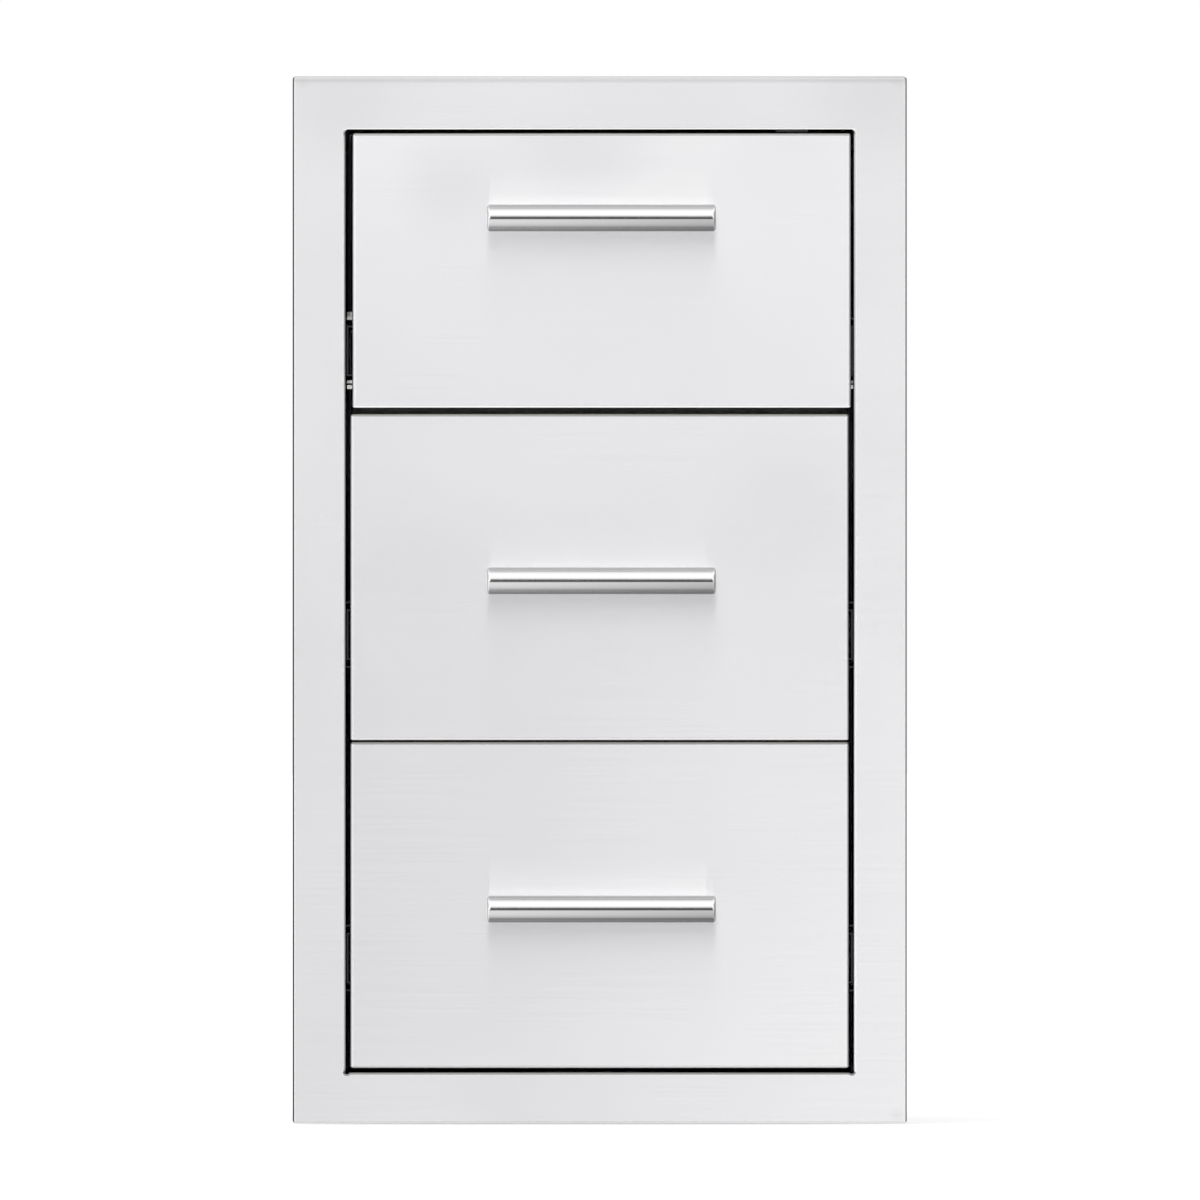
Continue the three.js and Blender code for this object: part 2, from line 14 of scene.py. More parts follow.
import bpy  # noqa: E402
import numpy as np  # noqa: E402
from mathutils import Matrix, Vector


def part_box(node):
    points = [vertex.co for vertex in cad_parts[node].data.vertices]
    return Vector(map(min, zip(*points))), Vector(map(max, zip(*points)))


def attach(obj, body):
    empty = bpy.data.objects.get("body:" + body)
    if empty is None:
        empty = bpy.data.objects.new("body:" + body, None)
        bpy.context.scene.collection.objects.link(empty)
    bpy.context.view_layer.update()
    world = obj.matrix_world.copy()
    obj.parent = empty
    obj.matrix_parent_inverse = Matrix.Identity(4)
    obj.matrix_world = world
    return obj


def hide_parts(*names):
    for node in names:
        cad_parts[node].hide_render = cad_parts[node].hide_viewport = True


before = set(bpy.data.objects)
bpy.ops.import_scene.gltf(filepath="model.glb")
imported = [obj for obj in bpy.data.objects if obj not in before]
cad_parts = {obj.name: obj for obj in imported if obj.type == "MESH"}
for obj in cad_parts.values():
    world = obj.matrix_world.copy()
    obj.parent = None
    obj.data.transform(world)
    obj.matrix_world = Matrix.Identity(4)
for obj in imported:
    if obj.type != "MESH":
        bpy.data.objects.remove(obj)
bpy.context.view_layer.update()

log = logging.getLogger("drawer_unit")

Colour = tuple[float, float, float]
Span = tuple[float, float]

MM = 0.001
QUARTER = math.pi / 2
ALONG_X, ALONG_Y, ALONG_Z = np.eye(3)

DRAWERS = ("top", "middle", "bottom")
SIDES = {"left": -1, "right": 1}
SLIDE_SHARES = (0.08, 0.5, 0.92)

# Steps of the curves, and the flat strip that keeps a bend's shading off the flats
LEAST_RADIUS = 0.12
CORNER_STEPS = 8
BEND_STEPS = 8
GUARD = 0.25
SHARP_ANGLE = math.radians(35)

# Node graphs


class Socket:
    """One output of a node, whose arithmetic adds Math nodes to the graph."""

    def __init__(self, bench: Bench, link: bpy.types.NodeSocket) -> None:
        """Keeps the graph and the node's output."""
        self.bench = bench
        self.link = link

    def _math(self, operation: str, *terms: Term) -> Socket:
        """Adds one Math node on the given terms and returns its output."""
        return self.bench.node("ShaderNodeMath", {"operation": operation}, dict(enumerate(terms)))

    def __add__(self, other: Term) -> Socket:
        """Returns self + other."""
        return self._math("ADD", self, other)

    def __mul__(self, other: Term) -> Socket:
        """Returns self * other."""
        return self._math("MULTIPLY", self, other)

    __radd__, __rmul__ = __add__, __mul__

    def __sub__(self, other: Term) -> Socket:
        """Returns self - other."""
        return self._math("SUBTRACT", self, other)

    def __rsub__(self, other: Term) -> Socket:
        """Returns other - self."""
        return self._math("SUBTRACT", other, self)

    def __truediv__(self, other: Term) -> Socket:
        """Returns self / other."""
        return self._math("DIVIDE", self, other)

    def __neg__(self) -> Socket:
        """Returns -self."""
        return self * -1

    def __abs__(self) -> Socket:
        """Returns the size of self without its sign."""
        return self._math("ABSOLUTE", self)

    def __gt__(self, other: Term) -> Socket:
        """Returns 1 where self is above other, and 0 elsewhere."""
        return self._math("GREATER_THAN", self, other)

    def larger(self, other: Term) -> Socket:
        """Returns the larger of self and other."""
        return self._math("MAXIMUM", self, other)

    def arcsine(self) -> Socket:
        """Returns the angle whose sine is self."""
        return self._math("ARCSINE", self)

    def angle_with(self, other: Term) -> Socket:
        """Returns the angle from the axis of other towards the axis of self."""
        return self._math("ARCTAN2", self, other)

    def between(self, low: float, high: float) -> Socket:
        """Returns a smooth step of self, from 0 at low to 1 at high."""
        inputs = {"Value": self, "From Min": low, "From Max": high}
        settings = {"interpolation_type": "SMOOTHSTEP"}
        return self.bench.node("ShaderNodeMapRange", settings, inputs)

    def within(self, rise: Span, fall: Span) -> Socket:
        """Returns a window of self, which rises from 0 to 1 over rise and falls over fall."""
        return self.between(*rise) * (1 - self.between(*fall))


Term = Union[Socket, float, tuple]


class Bench:
    """A node graph in the making."""

    def __init__(self, tree: bpy.types.NodeTree) -> None:
        """Keeps and clears the node tree of a material or of the world."""
        self.tree = tree
        tree.nodes.clear()

    def node(
        self,
        kind: str,
        settings: dict[str, object] | None = None,
        inputs: dict[str | int, Term] | None = None,
        output: str | int = 0,
    ) -> Socket:
        """Adds any node.

        Args:
            kind: Blender's name for the type of node.
            settings: The node's own settings, and "stops" for a colour ramp.
            inputs: A value or a link for each socket, by its name or place.
            output: The name or place of the output to return.

        Returns:
            The wanted output.
        """
        made = self.tree.nodes.new(kind)
        for name, value in (settings or {}).items():
            if name == "stops":
                self._set_stops(made.color_ramp, value)
            else:
                setattr(made, name, value)
        for name, value in (inputs or {}).items():
            if isinstance(value, Socket):
                self.tree.links.new(value.link, made.inputs[name])
            else:
                made.inputs[name].default_value = value
        return Socket(self, made.outputs[output] if made.outputs else None)

    @staticmethod
    def _set_stops(ramp: bpy.types.ColorRamp, stops: list[tuple[float, float]]) -> None:
        """Gives a colour ramp its grey stops.

        Args:
            ramp: The ramp.
            stops: The place and the grey level of each stop, in order.
        """
        while len(ramp.elements) < len(stops):
            ramp.elements.new(1.0)
        for element, (place, level) in zip(ramp.elements, stops):
            element.position = place
            element.color = (level, level, level, 1.0)

    def split(self, vector: Socket) -> list[Socket]:
        """Returns the X, Y and Z of a vector."""
        parts = self.node("ShaderNodeSeparateXYZ", None, {0: vector}).link.node.outputs
        return [Socket(self, part) for part in parts]

    def join(self, x: Term, y: Term, z: Term) -> Socket:
        """Returns the vector with the given X, Y and Z."""
        return self.node("ShaderNodeCombineXYZ", None, {0: x, 1: y, 2: z})

    def scaled(self, vector: Term, by: Term) -> Socket:
        """Returns a vector or colour times a number."""
        return self.node("ShaderNodeVectorMath", {"operation": "SCALE"}, {0: vector, "Scale": by})

    def distance(self, first: Term, second: Term) -> Socket:
        """Returns how far two places lie from each other."""
        ends = {0: first, 1: second}
        return self.node("ShaderNodeVectorMath", {"operation": "DISTANCE"}, ends, "Value")

    def mix(self, share: Term, first: Term, second: Term) -> Socket:
        """Mixes two colours.

        Args:
            share: How far the mixture lies from the first towards the second.
            first: The colour at 0.
            second: The colour at 1.

        Returns:
            The mixture.
        """
        sides = {
            place: colour if isinstance(colour, Socket) else (*colour, 1.0)
            for place, colour in ((6, first), (7, second))
        }
        return self.node("ShaderNodeMix", {"data_type": "RGBA"}, {0: share, **sides}, 2)

    def noise(self, place: Socket, scale: float, detail: float, roughness: float = 0.55) -> Socket:
        """Returns cloudy noise from 0 to 1 at a place."""
        inputs = {"Vector": place, "Scale": scale, "Detail": detail, "Roughness": roughness}
        return self.node("ShaderNodeTexNoise", {"noise_dimensions": "3D"}, inputs)


class Sheet(Bench):
    """The graph of a material, with where a point of its surface lies and how it faces."""

    def __init__(self, tree: bpy.types.NodeTree) -> None:
        """Adds the place, in metres, and the direction, by axis."""
        super().__init__(tree)
        self.place = self.node("ShaderNodeTexCoord", output="Object")
        self.x, self.y, self.z = self.split(self.place)
        normal = self.node("ShaderNodeTexCoord", output="Normal")
        self.across, self.inward, self.rise = self.split(normal)


# Finishes

# Parts of a surface's direction, from where it begins to where it fully faces that way.
# All but LEVEL_SHEET choose where painted light and shade fall: on cut ends, on a bar's
# front, and on folds
LEVEL_SHEET = 0.7
FRONT_ENDS: Span = (0.6, 0.8)
BACK_HALF: Span = (0.0, 0.2)
LOWER_FRONT: Span = (0.6, 0.78)
LOWEST_FRONT: Span = (0.82, 0.97)
LOWEST_SHARE = 0.6
LOWER_HALF: Span = (-0.15, 0.3)
UPPER_FRONT: Span = (0.6, 0.92)
PALE_FOLD: Span = (0.05, 0.6)
LIT_FOLD: Span = (0.5, 0.9)
DARK_FOLD: Span = (0.01, 0.08)
DIM_FOLD: Span = (0.35, 0.75)
DIM_LEAN = 0.15
OUTER_FOLD_M: Span = (0.200, 0.202)

# How the noises look, and how deep the lines are
LINE_NOISE = (1.0, 3.0, 0.7)
SOFT_DETAIL, SMEAR_DETAIL = 2.0, 4.0
SMEARS_PER_CLOUD = 2.6
SMEAR_SPAN: Span = (0.5, 0.75)
BUMP_STRENGTH, BUMP_DEPTH = 0.12, 0.02


class Grain(Enum):
    """The way that the lines of a finish run on a sheet."""

    LEVEL = "level"
    LENGTHWISE = "lengthwise"
    ROUND = "round"


@dataclass(frozen=True)
class Steel:
    """A steel finish whose fine lines follow the sheet, with painted light and shade.

    Lines are noise that is stretched along the grain, so that it changes quickly across it.
    Bands are broader lines, clouds are slow changes of tone, and smears are patches that are a
    little rougher. The slant is painted light and shade that changes slower still: the weights
    of x, z, x squared, z squared and x z, in metres from painted_shading_middle. The painted
    shade line is a darker line along a rail, given by its height, reach and share. A painted
    bar reflection is the height of a bar and the share by which the sheet above it is paler,
    as if it mirrored the bar, between painted_reflection_height up from the bar and
    painted_reflection_width along it. A spot is the x, z, reach and share of a soft round
    patch of weld_and_shade_tint: small spots are weld tint at the frame's corners, and broad
    spots and those on the tabs are painted shade. On a fold, painted light makes the part that
    faces down paler above the heights in painted_pale_span, and the part that faces left
    paler, and painted shade makes the part that faces up darker below those in
    painted_dark_span, and the outer folds that face sideways dimmer. Painted underside and
    topside shade say how far a bar's lower and upper front are darkened, and then the slant
    counts only on its lower half. The cut ends of a sheet that face forward in the gaps get
    painted_end_shade, a painted shade. Anisotropy smears what the sheet mirrors, turned by
    mirror_turn of a whole turn.
    """

    name: str
    tint: Colour
    roughness: float
    grain: Grain
    lines_per_mm: float = 0.9
    line_length: float = 160.0
    line_tone: float = 0.03
    line_depth: float = 0.03
    band_tone: float = 0.0
    bands_per_mm: float = 0.06
    cloud_tone: float = 0.03
    cloud_size: float = 120.0
    smear: float = 0.03
    anisotropy: float = 0.0
    mirror_turn: float = 0.25
    painted_fold_light: float = 0.0
    painted_upper_fold_shade: Colour = (1.0, 1.0, 1.0)
    painted_outer_fold_shade: float = 0.0
    painted_side_light: float = 0.5
    painted_underside_shade: float = 0.0
    painted_topside_shade: float = 0.0
    painted_shading_slant: tuple[float, ...] = ()
    painted_shading_middle: float = 0.3255
    painted_pale_span: Span = (-1.0, -0.9)
    painted_dark_span: Span = (0.9, 1.0)
    painted_shade_line: tuple[float, float, float] = (0.0, 1.0, 0.0)
    painted_bar_reflections: tuple[tuple[float, float], ...] = ()
    painted_reflection_height: tuple[Span, Span] = ((-2.0, 8.0), (10.0, 40.0))
    painted_reflection_width: tuple[Span, Span] = ((-76.4, -74.4), (72.0, 74.0))
    spots: tuple[tuple[float, float, float, float], ...] = ()
    weld_and_shade_tint: Colour = (0.5, 0.492, 0.5)
    painted_end_shade: float = 1.0
    painted_end_place: Span = (0.20, 0.22)

    def _lane(self, at: Sheet) -> Socket:
        """Stretches a place along the grain.

        On a level grain, lines run along X or back along Y round a fold, and change with
        height, or with depth on a surface that faces up. A lengthwise grain runs along Y.
        A round grain changes only along X.

        Args:
            at: The graph of the material.

        Returns:
            The place to read line noise at.
        """
        fine = self.lines_per_mm / MM
        slow = 1 / (self.line_length * MM)
        if self.grain is Grain.ROUND:
            return at.join(at.x * fine, at.y * slow, at.z * slow)
        level = abs(at.rise) > LEVEL_SHEET
        if self.grain is Grain.LENGTHWISE:
            return at.join(at.y * slow, (at.z + (at.x - at.z) * level) * fine, 0.0)
        return at.join((at.x + at.y) * slow, (at.z + (at.y - at.z) * level) * fine, 0.0)

    def _painted_bar_reflection(self, at: Sheet, bar_height: float) -> Socket:
        """Works out where the sheet gets a painted reflection of the bar below it.

        Args:
            at: The graph of the material.
            bar_height: The height of the bar's axis.

        Returns:
            1 just above the bar, fading out upwards, and 0 past the ends of the bar.
        """
        above = at.z * (1 / MM) - bar_height
        return above.within(*self.painted_reflection_height) * (at.x * (1 / MM)).within(*self.painted_reflection_width)

    def _painted_bar_shade(self, at: Sheet, tone: Socket, slow: Term) -> Socket:
        """Paints shade on the lower and the upper front of a bar.

        Args:
            at: The graph of the material.
            tone: The tone so far.
            slow: The share by which the slant of painted light and shade lifts the tone.

        Returns:
            The new tone.
        """
        # Painted shade: the lower and upper front of the bar are darkened, and the slant's painted
        # light and shade counts only on the lower half.
        fall, forward = -at.rise, 1 - at.inward.between(*BACK_HALF)
        under = fall.between(*LOWER_FRONT) + fall.between(*LOWEST_FRONT) * LOWEST_SHARE
        tone = tone + slow * fall.between(*LOWER_HALF)
        tone = tone * (1 - under * forward * self.painted_underside_shade)
        return tone * (1 - at.rise.between(*UPPER_FRONT) * forward * self.painted_topside_shade)

    def _tone(self, at: Sheet, lane: Socket, lines: Socket) -> Socket:
        """Works out the tone of the sheet with its painted light and shade, apart from its folds
        and spots.

        Args:
            at: The graph of the material.
            lane: The place that is stretched along the grain.
            lines: The noise of the fine lines.

        Returns:
            The tone, about 1.
        """
        clouds = at.noise(at.place, 1 / (self.cloud_size * MM), SOFT_DETAIL)
        tone = 1 + (lines - 0.5) * self.line_tone + (clouds - 0.5) * self.cloud_tone
        if self.band_tone:
            bands = at.noise(lane, self.bands_per_mm / self.lines_per_mm, SOFT_DETAIL)
            tone = tone + (bands - 0.5) * self.band_tone
        # Painted light and shade: a slow change of tone across the sheet, in powers of x and z.
        slow: Term = 0.0
        if self.painted_shading_slant:
            z = at.z - self.painted_shading_middle
            terms = (at.x, z, at.x * at.x, z * z, at.x * z)
            slow = sum(term * weight for term, weight in zip(terms, self.painted_shading_slant))
        tone = self._painted_bar_shade(at, tone, slow) if self.painted_underside_shade else tone + slow
        # Painted reflection: the sheet is paler just above each bar, as if it mirrored the bar.
        for bar_height, share in self.painted_bar_reflections:
            tone = tone * (1 + self._painted_bar_reflection(at, bar_height) * share)
        # Painted shade: a darker line along a rail.
        shade_line_height, shade_line_reach, shade_line_share = self.painted_shade_line
        if shade_line_share:
            away = abs(at.z - shade_line_height * MM)
            tone = tone * (1 - (1 - away.between(0.0, shade_line_reach * MM)) * shade_line_share)
        # Painted shade on the cut ends that face forward in the gaps.
        if self.painted_end_shade < 1:
            ends = (-at.inward).between(*FRONT_ENDS) * (-at.y).between(*self.painted_end_place)
            tone = tone * (1 - ends * (1 - self.painted_end_shade))
        return tone

    def _painted_folds(self, at: Sheet, colour: Socket) -> tuple[Socket, Socket]:
        """Gives the folds painted light and shade, by the way that they face.

        Args:
            at: The graph of the material.
            colour: The colour of the sheet.

        Returns:
            The colour, and how metallic the surface stays where the folds are pale.
        """
        # Painted light and shade on the folds: folds that face down or left are mixed towards
        # white and made less metallic, so that the lamps light them as pale sheet; folds that face
        # up are mixed towards a dark grey; and outer folds that face sideways are dimmed.
        fold = at.node("ShaderNodeAttribute", {"attribute_name": "fold"}, output="Fac")
        outer = abs(at.x).between(*OUTER_FOLD_M) * self.painted_outer_fold_shade
        dim = fold * outer * abs(at.across - DIM_LEAN).between(*DIM_FOLD)
        colour = at.scaled(colour, 1 - dim)
        pale = (-at.rise).between(*PALE_FOLD) * at.z.between(*self.painted_pale_span)
        lit = (-at.across).between(*LIT_FOLD) * (1 - outer) * self.painted_side_light
        pale = (pale + lit) * fold * self.painted_fold_light
        colour = at.mix(pale, colour, (1.0, 1.0, 1.0))
        dark = fold * at.rise.between(*DARK_FOLD) * (1 - at.z.between(*self.painted_dark_span))
        return at.mix(dark, colour, self.painted_upper_fold_shade), 1 - pale

    def _weld_tints_and_painted_shade(self, at: Sheet, colour: Socket) -> Socket:
        """Adds the soft round spots of weld tint and of painted shade.

        Args:
            at: The graph of the material.
            colour: The colour so far.

        Returns:
            The colour with the spots.
        """
        # Small spots are weld tint; broad spots and those on the tabs are painted shade.
        for across, up, reach, share in self.spots:
            away = at.distance(at.join(at.x, 0.0, at.z), (across * MM, 0.0, up * MM))
            inside = (1 - away.between(0.0, reach * MM)) * share
            colour = at.mix(inside, colour, self.weld_and_shade_tint)
        return colour

    def build(self) -> bpy.types.Material:
        """Makes the material.

        Returns:
            The material, with tone, roughness and bump that follow the grain.
        """
        material = bpy.data.materials.new(self.name)
        material.use_nodes = True
        at = Sheet(material.node_tree)
        lane = self._lane(at)
        lines = at.noise(lane, *LINE_NOISE)
        smear_scale = SMEARS_PER_CLOUD / (self.cloud_size * MM)
        smears = at.noise(at.place, smear_scale, SMEAR_DETAIL).between(*SMEAR_SPAN)
        colour = at.scaled(self.tint, self._tone(at, lane, lines))
        metallic: Term = 1.0
        if self.painted_fold_light:
            colour, metallic = self._painted_folds(at, colour)
        bump = {"Strength": BUMP_STRENGTH, "Distance": BUMP_DEPTH * MM, "Height": lines}
        surface = {
            "Base Color": self._weld_tints_and_painted_shade(at, colour),
            "Metallic": metallic,
            "Roughness": self.roughness + (lines - 0.5) * self.line_depth + smears * self.smear,
            "Anisotropic": self.anisotropy,
            "Anisotropic Rotation": self.mirror_turn if self.anisotropy else 0.0,
            "Normal": at.node("ShaderNodeBump", None, bump),
        }
        shader = at.node("ShaderNodeBsdfPrincipled", None, surface)
        at.node("ShaderNodeOutputMaterial", None, {"Surface": shader})
        return material


class Finishes:
    """Every finish of the unit, each made once."""

    def __init__(self) -> None:
        """Makes the materials."""
        # The brushed sheets get painted light and shade on their folds.
        brushed = {
            "lines_per_mm": 0.55, "line_tone": 0.07, "line_depth": 0.006, "smear": 0.0,
            "cloud_tone": 0.09, "anisotropy": 1.0, "painted_fold_light": 0.7,
        }
        self.frame = Steel(
            "frame_brushed_steel", (0.887, 0.881, 0.898), 0.27, Grain.LEVEL, **brushed,
            # Painted shade on folds that face up and on the outer folds that face sideways, and
            # painted light on folds that face down or left.
            painted_upper_fold_shade=(0.34, 0.335, 0.33), painted_outer_fold_shade=1.0,
            painted_pale_span=(-0.5, 0.5), painted_dark_span=(0.1, 1.05),
            # A slow slant of painted light and shade across the frame.
            painted_shading_slant=(0.18, 0.02, 0.47, 0.28, -0.53),
            # A line of painted shade just under the top edge.
            painted_shade_line=(680.9, 2.8, 0.16),
            # The three small spots are weld tint at the corners; the two broad ones near the top
            # are painted shade.
            spots=(
                (-203.1, 678.8, 6.0, 0.13), (203.5, 679.4, 7.0, 0.13),
                (203.3, -27.1, 7.0, 0.13), (-186.0, 674.0, 80.0, 0.17),
                (190.0, 674.0, 75.0, 0.17),
            ),
        ).build()
        self.front = Steel(
            "front_brushed_steel", (0.895, 0.889, 0.908), 0.27, Grain.LEVEL, **brushed,
            # Painted shade on folds that face up, and painted light on folds that face down or
            # left.
            painted_upper_fold_shade=(0.31, 0.3, 0.285), cloud_size=210.0,
            painted_pale_span=(-0.25, 0.45), painted_dark_span=(0.2, 1.6),
            # A slow slant of painted light and shade across the fronts.
            painted_shading_slant=(0.25, 0.13, -0.28, 0.86, -0.73),
            # Painted reflections of the bars: the sheet is paler just above each bar.
            painted_bar_reflections=((586.5, 0.07), (338.65, 0.035), (114.4, 0.075)),
            # Broad spots of painted shade across the fronts.
            spots=(
                (-17.0, 642.0, 95.0, 0.19), (-101.0, 610.0, 50.0, 0.15),
                (128.0, 646.0, 88.0, 0.11), (132.0, 395.0, 80.0, 0.11),
                (-120.0, 356.0, 70.0, 0.07),
            ),
        ).build()
        self.handle = Steel(
            "handle_turned_steel", (0.86, 0.86, 0.86), 0.045, Grain.ROUND,
            lines_per_mm=1.6, line_length=60.0, line_depth=0.012, smear=0.004,
            # Painted shade on the bar's lower and upper front, and a slant of painted shade that
            # makes its lower half paler to the left and darker to the right.
            painted_underside_shade=0.5, painted_topside_shade=0.5, painted_shading_slant=(-2.5,),
        ).build()
        self.mill = Steel(
            "mill_sheet_steel", (0.74, 0.75, 0.76), 0.38, Grain.LEVEL,
            lines_per_mm=0.5, line_length=220.0, line_tone=0.07, smear=0.02, cloud_tone=0.08,
            # Painted shade on the cut ends that face forward in the gaps.
            band_tone=0.16, painted_end_shade=0.12,
        ).build()
        self.tray = Steel(
            "tray_sheet_steel", (0.76, 0.77, 0.78), 0.36, Grain.LENGTHWISE,
            lines_per_mm=0.5, line_length=220.0, line_tone=0.06, smear=0.02, cloud_tone=0.06,
            band_tone=0.1,
        ).build()
        self.strip = Steel(
            "slide_plated_steel", (0.74, 0.76, 0.78), 0.3, Grain.LENGTHWISE,
            lines_per_mm=1.2, line_length=300.0, line_tone=0.08, smear=0.1, cloud_size=40.0,
            # Painted shade on the cut ends that face forward in the gaps.
            painted_end_shade=0.06,
        ).build()
        self.tab = Steel(
            "tab_plated_steel", (0.97, 0.97, 0.94), 0.4, Grain.LENGTHWISE,
            lines_per_mm=1.2, line_length=60.0, line_tone=0.1, cloud_size=4.0, cloud_tone=0.3,
            # Spots of painted shade, in a dark tint, on the leaves that lie in shade.
            spots=(
                (-172.0, 518.5, 9.0, 0.4), (-172.0, 521.6, 3.6, 0.85),
                (-172.0, 474.8, 2.8, 0.5), (172.5, 475.0, 2.7, 0.8),
            ),
            weld_and_shade_tint=(0.1, 0.097, 0.08),
        ).build()
        self.cage = Steel(
            "cage_pressed_steel", (0.62, 0.64, 0.66), 0.36, Grain.LENGTHWISE,
            lines_per_mm=1.5, line_length=90.0, line_tone=0.08, smear=0.08, cloud_size=30.0,
        ).build()
        self.ball = Steel(
            "ball_polished_steel", (0.86, 0.87, 0.88), 0.08, Grain.ROUND,
            lines_per_mm=3.0, line_tone=0.02, line_depth=0.02, smear=0.03, cloud_size=8.0,
        ).build()
        self.screw = Steel(
            "screw_steel", (0.72, 0.73, 0.74), 0.28, Grain.ROUND,
            lines_per_mm=4.0, line_tone=0.1, smear=0.12, cloud_size=6.0,
        ).build()


# Surfaces


@dataclass(frozen=True)
class Box:
    """A rectangle in the plane that a sheet is folded from."""

    left: float
    right: float
    low: float
    high: float

    def inset(self, by: float) -> Box:
        """Returns the rectangle with each edge moved inwards."""
        return Box(self.left + by, self.right - by, self.low + by, self.high - by)

    def corners(self) -> np.ndarray:
        """Returns its corners, anticlockwise from the lower right one."""
        across = (self.right, self.right, self.left, self.left)
        return np.stack([across, (self.low, self.high, self.high, self.low)], axis=1)


@dataclass
class Surface:
    """Points, the faces that join them, and named marks with a value for each point."""

    points: np.ndarray
    faces: list[list[int]]
    marks: dict[str, np.ndarray] = field(default_factory=dict)

    def outward(self) -> Surface:
        """Returns the surface with its faces turned out.

        The volume is the sum over the faces' fans of triangles of a . (b x c) / 6. Where it
        is below zero, the order of each face is turned round.
        """
        triangles = np.array(
            [(f[0], f[i], f[i + 1]) for f in self.faces for i in range(1, len(f) - 1)]
        )
        a, b, c = (self.points[triangles[:, i]] for i in range(3))
        if np.einsum("ij,ij->i", a, np.cross(b, c)).sum() < 0:
            self.faces = [face[::-1] for face in self.faces]
        return self

    def stamped(self, spots: np.ndarray, across: np.ndarray, up: np.ndarray) -> Surface:
        """Puts a copy of the surface at each spot.

        Args:
            spots: The place of each copy.
            across: The direction that this surface's X turns to.
            up: The direction that this surface's Z turns to.

        Returns:
            The copies as one, each point being spot + x across + y (up x across) + z up.
        """
        turn = np.stack([across, np.cross(up, across), up])
        copies = spots[:, None] + (self.points @ turn)[None]
        step = len(self.points)
        faces = [[i + step * k for i in face] for k in range(len(spots)) for face in self.faces]
        return Surface(copies.reshape(-1, 3), faces)

    @staticmethod
    def joined(parts: list[Surface]) -> Surface:
        """Puts surfaces together.

        Args:
            parts: The surfaces.

        Returns:
            One surface with the points and faces of all, in their order.
        """
        starts = np.cumsum([0] + [len(part.points) for part in parts])
        faces = [
            [i + int(start) for i in face]
            for start, part in zip(starts, parts)
            for face in part.faces
        ]
        return Surface(np.concatenate([part.points for part in parts]), faces)

    def mesh_object(self, name: str, finish: bpy.types.Material) -> bpy.types.Object:
        """Makes the Blender object.

        Args:
            name: The piece's name.
            finish: Its material.

        Returns:
            The object, at the origin, with smooth bends and sharp edges.
        """
        mesh = bpy.data.meshes.new(name)
        mesh.from_pydata((self.points * MM).tolist(), [], self.faces)
        for mark, values in self.marks.items():
            layer = mesh.attributes.new(mark, "FLOAT", "POINT")
            layer.data.foreach_set("value", values.astype(np.float32))
        mesh.shade_smooth()
        mesh.set_sharp_from_angle(angle=SHARP_ANGLE)
        mesh.materials.append(finish)
        made = bpy.data.objects.new(name, mesh)
        bpy.context.scene.collection.objects.link(made)
        return made


def grid_surface(rings: np.ndarray, wrap: bool, capped: bool) -> Surface:
    """Joins a grid of points into a surface.

    Args:
        rings: Points by ring, by place along the ring, by axis. Each ring is closed.
        wrap: Whether the last ring joins the first.
        capped: Whether the first and last rings are closed by a face each.

    Returns:
        The surface, facing out.
    """
    count, along = rings.shape[:2]
    row, column = np.meshgrid(
        np.arange(count if wrap else count - 1), np.arange(along), indexing="ij"
    )
    next_row, next_column = (row + 1) % count, (column + 1) % along
    corners = [
        row * along + column,
        row * along + next_column,
        next_row * along + next_column,
        next_row * along + column,
    ]
    faces = np.stack(corners, axis=-1).reshape(-1, 4).tolist()
    if capped:
        last = (count - 1) * along
        faces.append(list(range(along - 1, -1, -1)))
        faces.append(list(range(last, last + along)))
    return Surface(rings.reshape(-1, 3), faces).outward()


def rounded_outline(box: Box, radius: float) -> np.ndarray:
    """Works out a rectangle with round corners.

    A corner's centre lies one radius inside both of its edges, and its points lie on the
    quarter circle round that centre.

    Args:
        box: The rectangle.
        radius: The radius of its corners.

    Returns:
        The points, anticlockwise from the lower right corner.
    """
    r = max(radius, LEAST_RADIUS)
    turn = (np.arange(4)[:, None] - 1 + np.linspace(0, 1, CORNER_STEPS + 1)) * QUARTER
    spokes = np.stack([np.cos(turn), np.sin(turn)], axis=-1)
    return (box.inset(r).corners()[:, None] + r * spokes).reshape(-1, 2)


